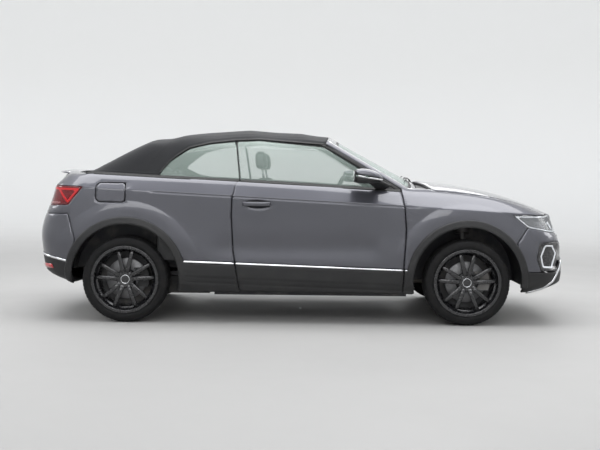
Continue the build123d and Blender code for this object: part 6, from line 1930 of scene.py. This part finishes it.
def bench_relief(upright):
    """Two seats with soft channels and a flat middle between two seams."""
    def relief(p, n):
        y = np.abs(p[:, 1])
        face = rise((n[:, 0 if upright else 2] - 0.15) / 0.3)
        inner = rise((200 - np.abs(y - 320)) / 14)
        along = p[:, 2] if upright else p[:, 0] - BENCH_X
        line = valley((along + 30) % 62 - 31, 4.0)
        hollow = -10 * valley(y - 320, 130)
        return face * (hollow - 5 * valley(y - 105, 5.0) - 4 * valley(y - 520, 5.0) - 3 * inner * line)
    return relief


sew(bench_cushion, bench_relief(False))
sew(bench_back, bench_relief(True))
for side, sign in SIDES:
    y = sign * 300.0
    sew(stuffed(f"bench_headrest_{side}", across_car(BENCH_REST, y - 114, y + 114, 30, 50, 3.4, 0.3), 4),
        headrest_relief)

# ------------------------------------------------------------------------------ cabin trim
# A moulded carpet over floor and tunnel, soft side trims beside the bench, and in each door
# an armrest, a pull handle and a loudspeaker.
carpet = Finish("black_carpet", (0.018, 0.018, 0.019), 0.95, sheen_weight=0.3)
pile = carpet.noise(900.0, 3.0)
carpet.set(**{"Base Color": carpet.mix(pile, (0.012, 0.012, 0.013), (0.03, 0.03, 0.031))})
carpet.set(Roughness=pile.step(0.3, 0.7, 0.88, 0.98))
carpet.bump(pile, 0.6, 0.0012)
floor_x = np.linspace(REAR_AXLE + 720, FRONT_AXLE - 500, 90)[None, :]
floor_y = np.linspace(0, 655, 60)[:, None]
tunnel = 96 * np.exp(-(floor_y / 105) ** 4) * (1 - rise((floor_x - FRONT_AXLE + 620) / 120))
toe = 150 * rise((floor_x - FRONT_AXLE + 640) / 130)
floor_z = 237 + tunnel + toe + 1.5 * np.sin(floor_x / 37) * np.sin(floor_y / 41) + 0 * floor_y
carpet_grid = np.stack(np.broadcast_arrays(floor_x, floor_y, floor_z), axis=-1)[:, ::-1]
surface("floor_carpet", carpet_grid, 1.0 + 0 * floor_z, "body", "tub_paint", carpet, 3.0, edge=0.5)
trim_skin = skin - skin_out * 66.0
for side, sign in SIDES:
    turn = mirrored if sign < 0 else (lambda mesh: mesh)
    body = f"door_{side}"
    panel(f"quarter_trim_{side}", least(rear_gap_x - 12 - x_at, x_at - REAR_AXLE - 240, z_at - 470,
                                        belt_z - 8 - z_at), "body",
          "dash_plastic", trim_cloth, 6.0, grid=trim_skin, side=side)
    arm_x = np.linspace(REAR_AXLE + 960, FRONT_AXLE - 760, 30)
    arm_path = np.stack([arm_x, 748 - 12 * ((arm_x + 100) / 600) ** 2, 716 + 22 * rise((arm_x + 100) / 500)],
                        axis=1)
    armrest = bar(arm_path, 46 + 14 * np.sin(np.linspace(0.3, math.pi - 0.3, 30)), 58, ref=(0, 0, 1),
                  sides=20, power=3.5)
    solid(f"door_armrest_{side}", turn(armrest), body, "seat_leather", leather)
    pull = smooth_path([(REAR_AXLE + 1250, 742, 800), (REAR_AXLE + 1290, 722, 806),
                        (REAR_AXLE + 1420, 720, 812), (REAR_AXLE + 1462, 740, 814)], 30)
    solid(f"door_pull_{side}", turn(bar(pull, 18, 22, ref=(0, 0, 1))), body, "dash_plastic", bright_trim)
    speaker = pad((FRONT_AXLE - 640, 752, 440), (1, 0, 0), (0, 0, 1), 176, 176, 14, 2.2)
    solid(f"door_speaker_{side}", turn(speaker), body, "dash_plastic", black_plastic)
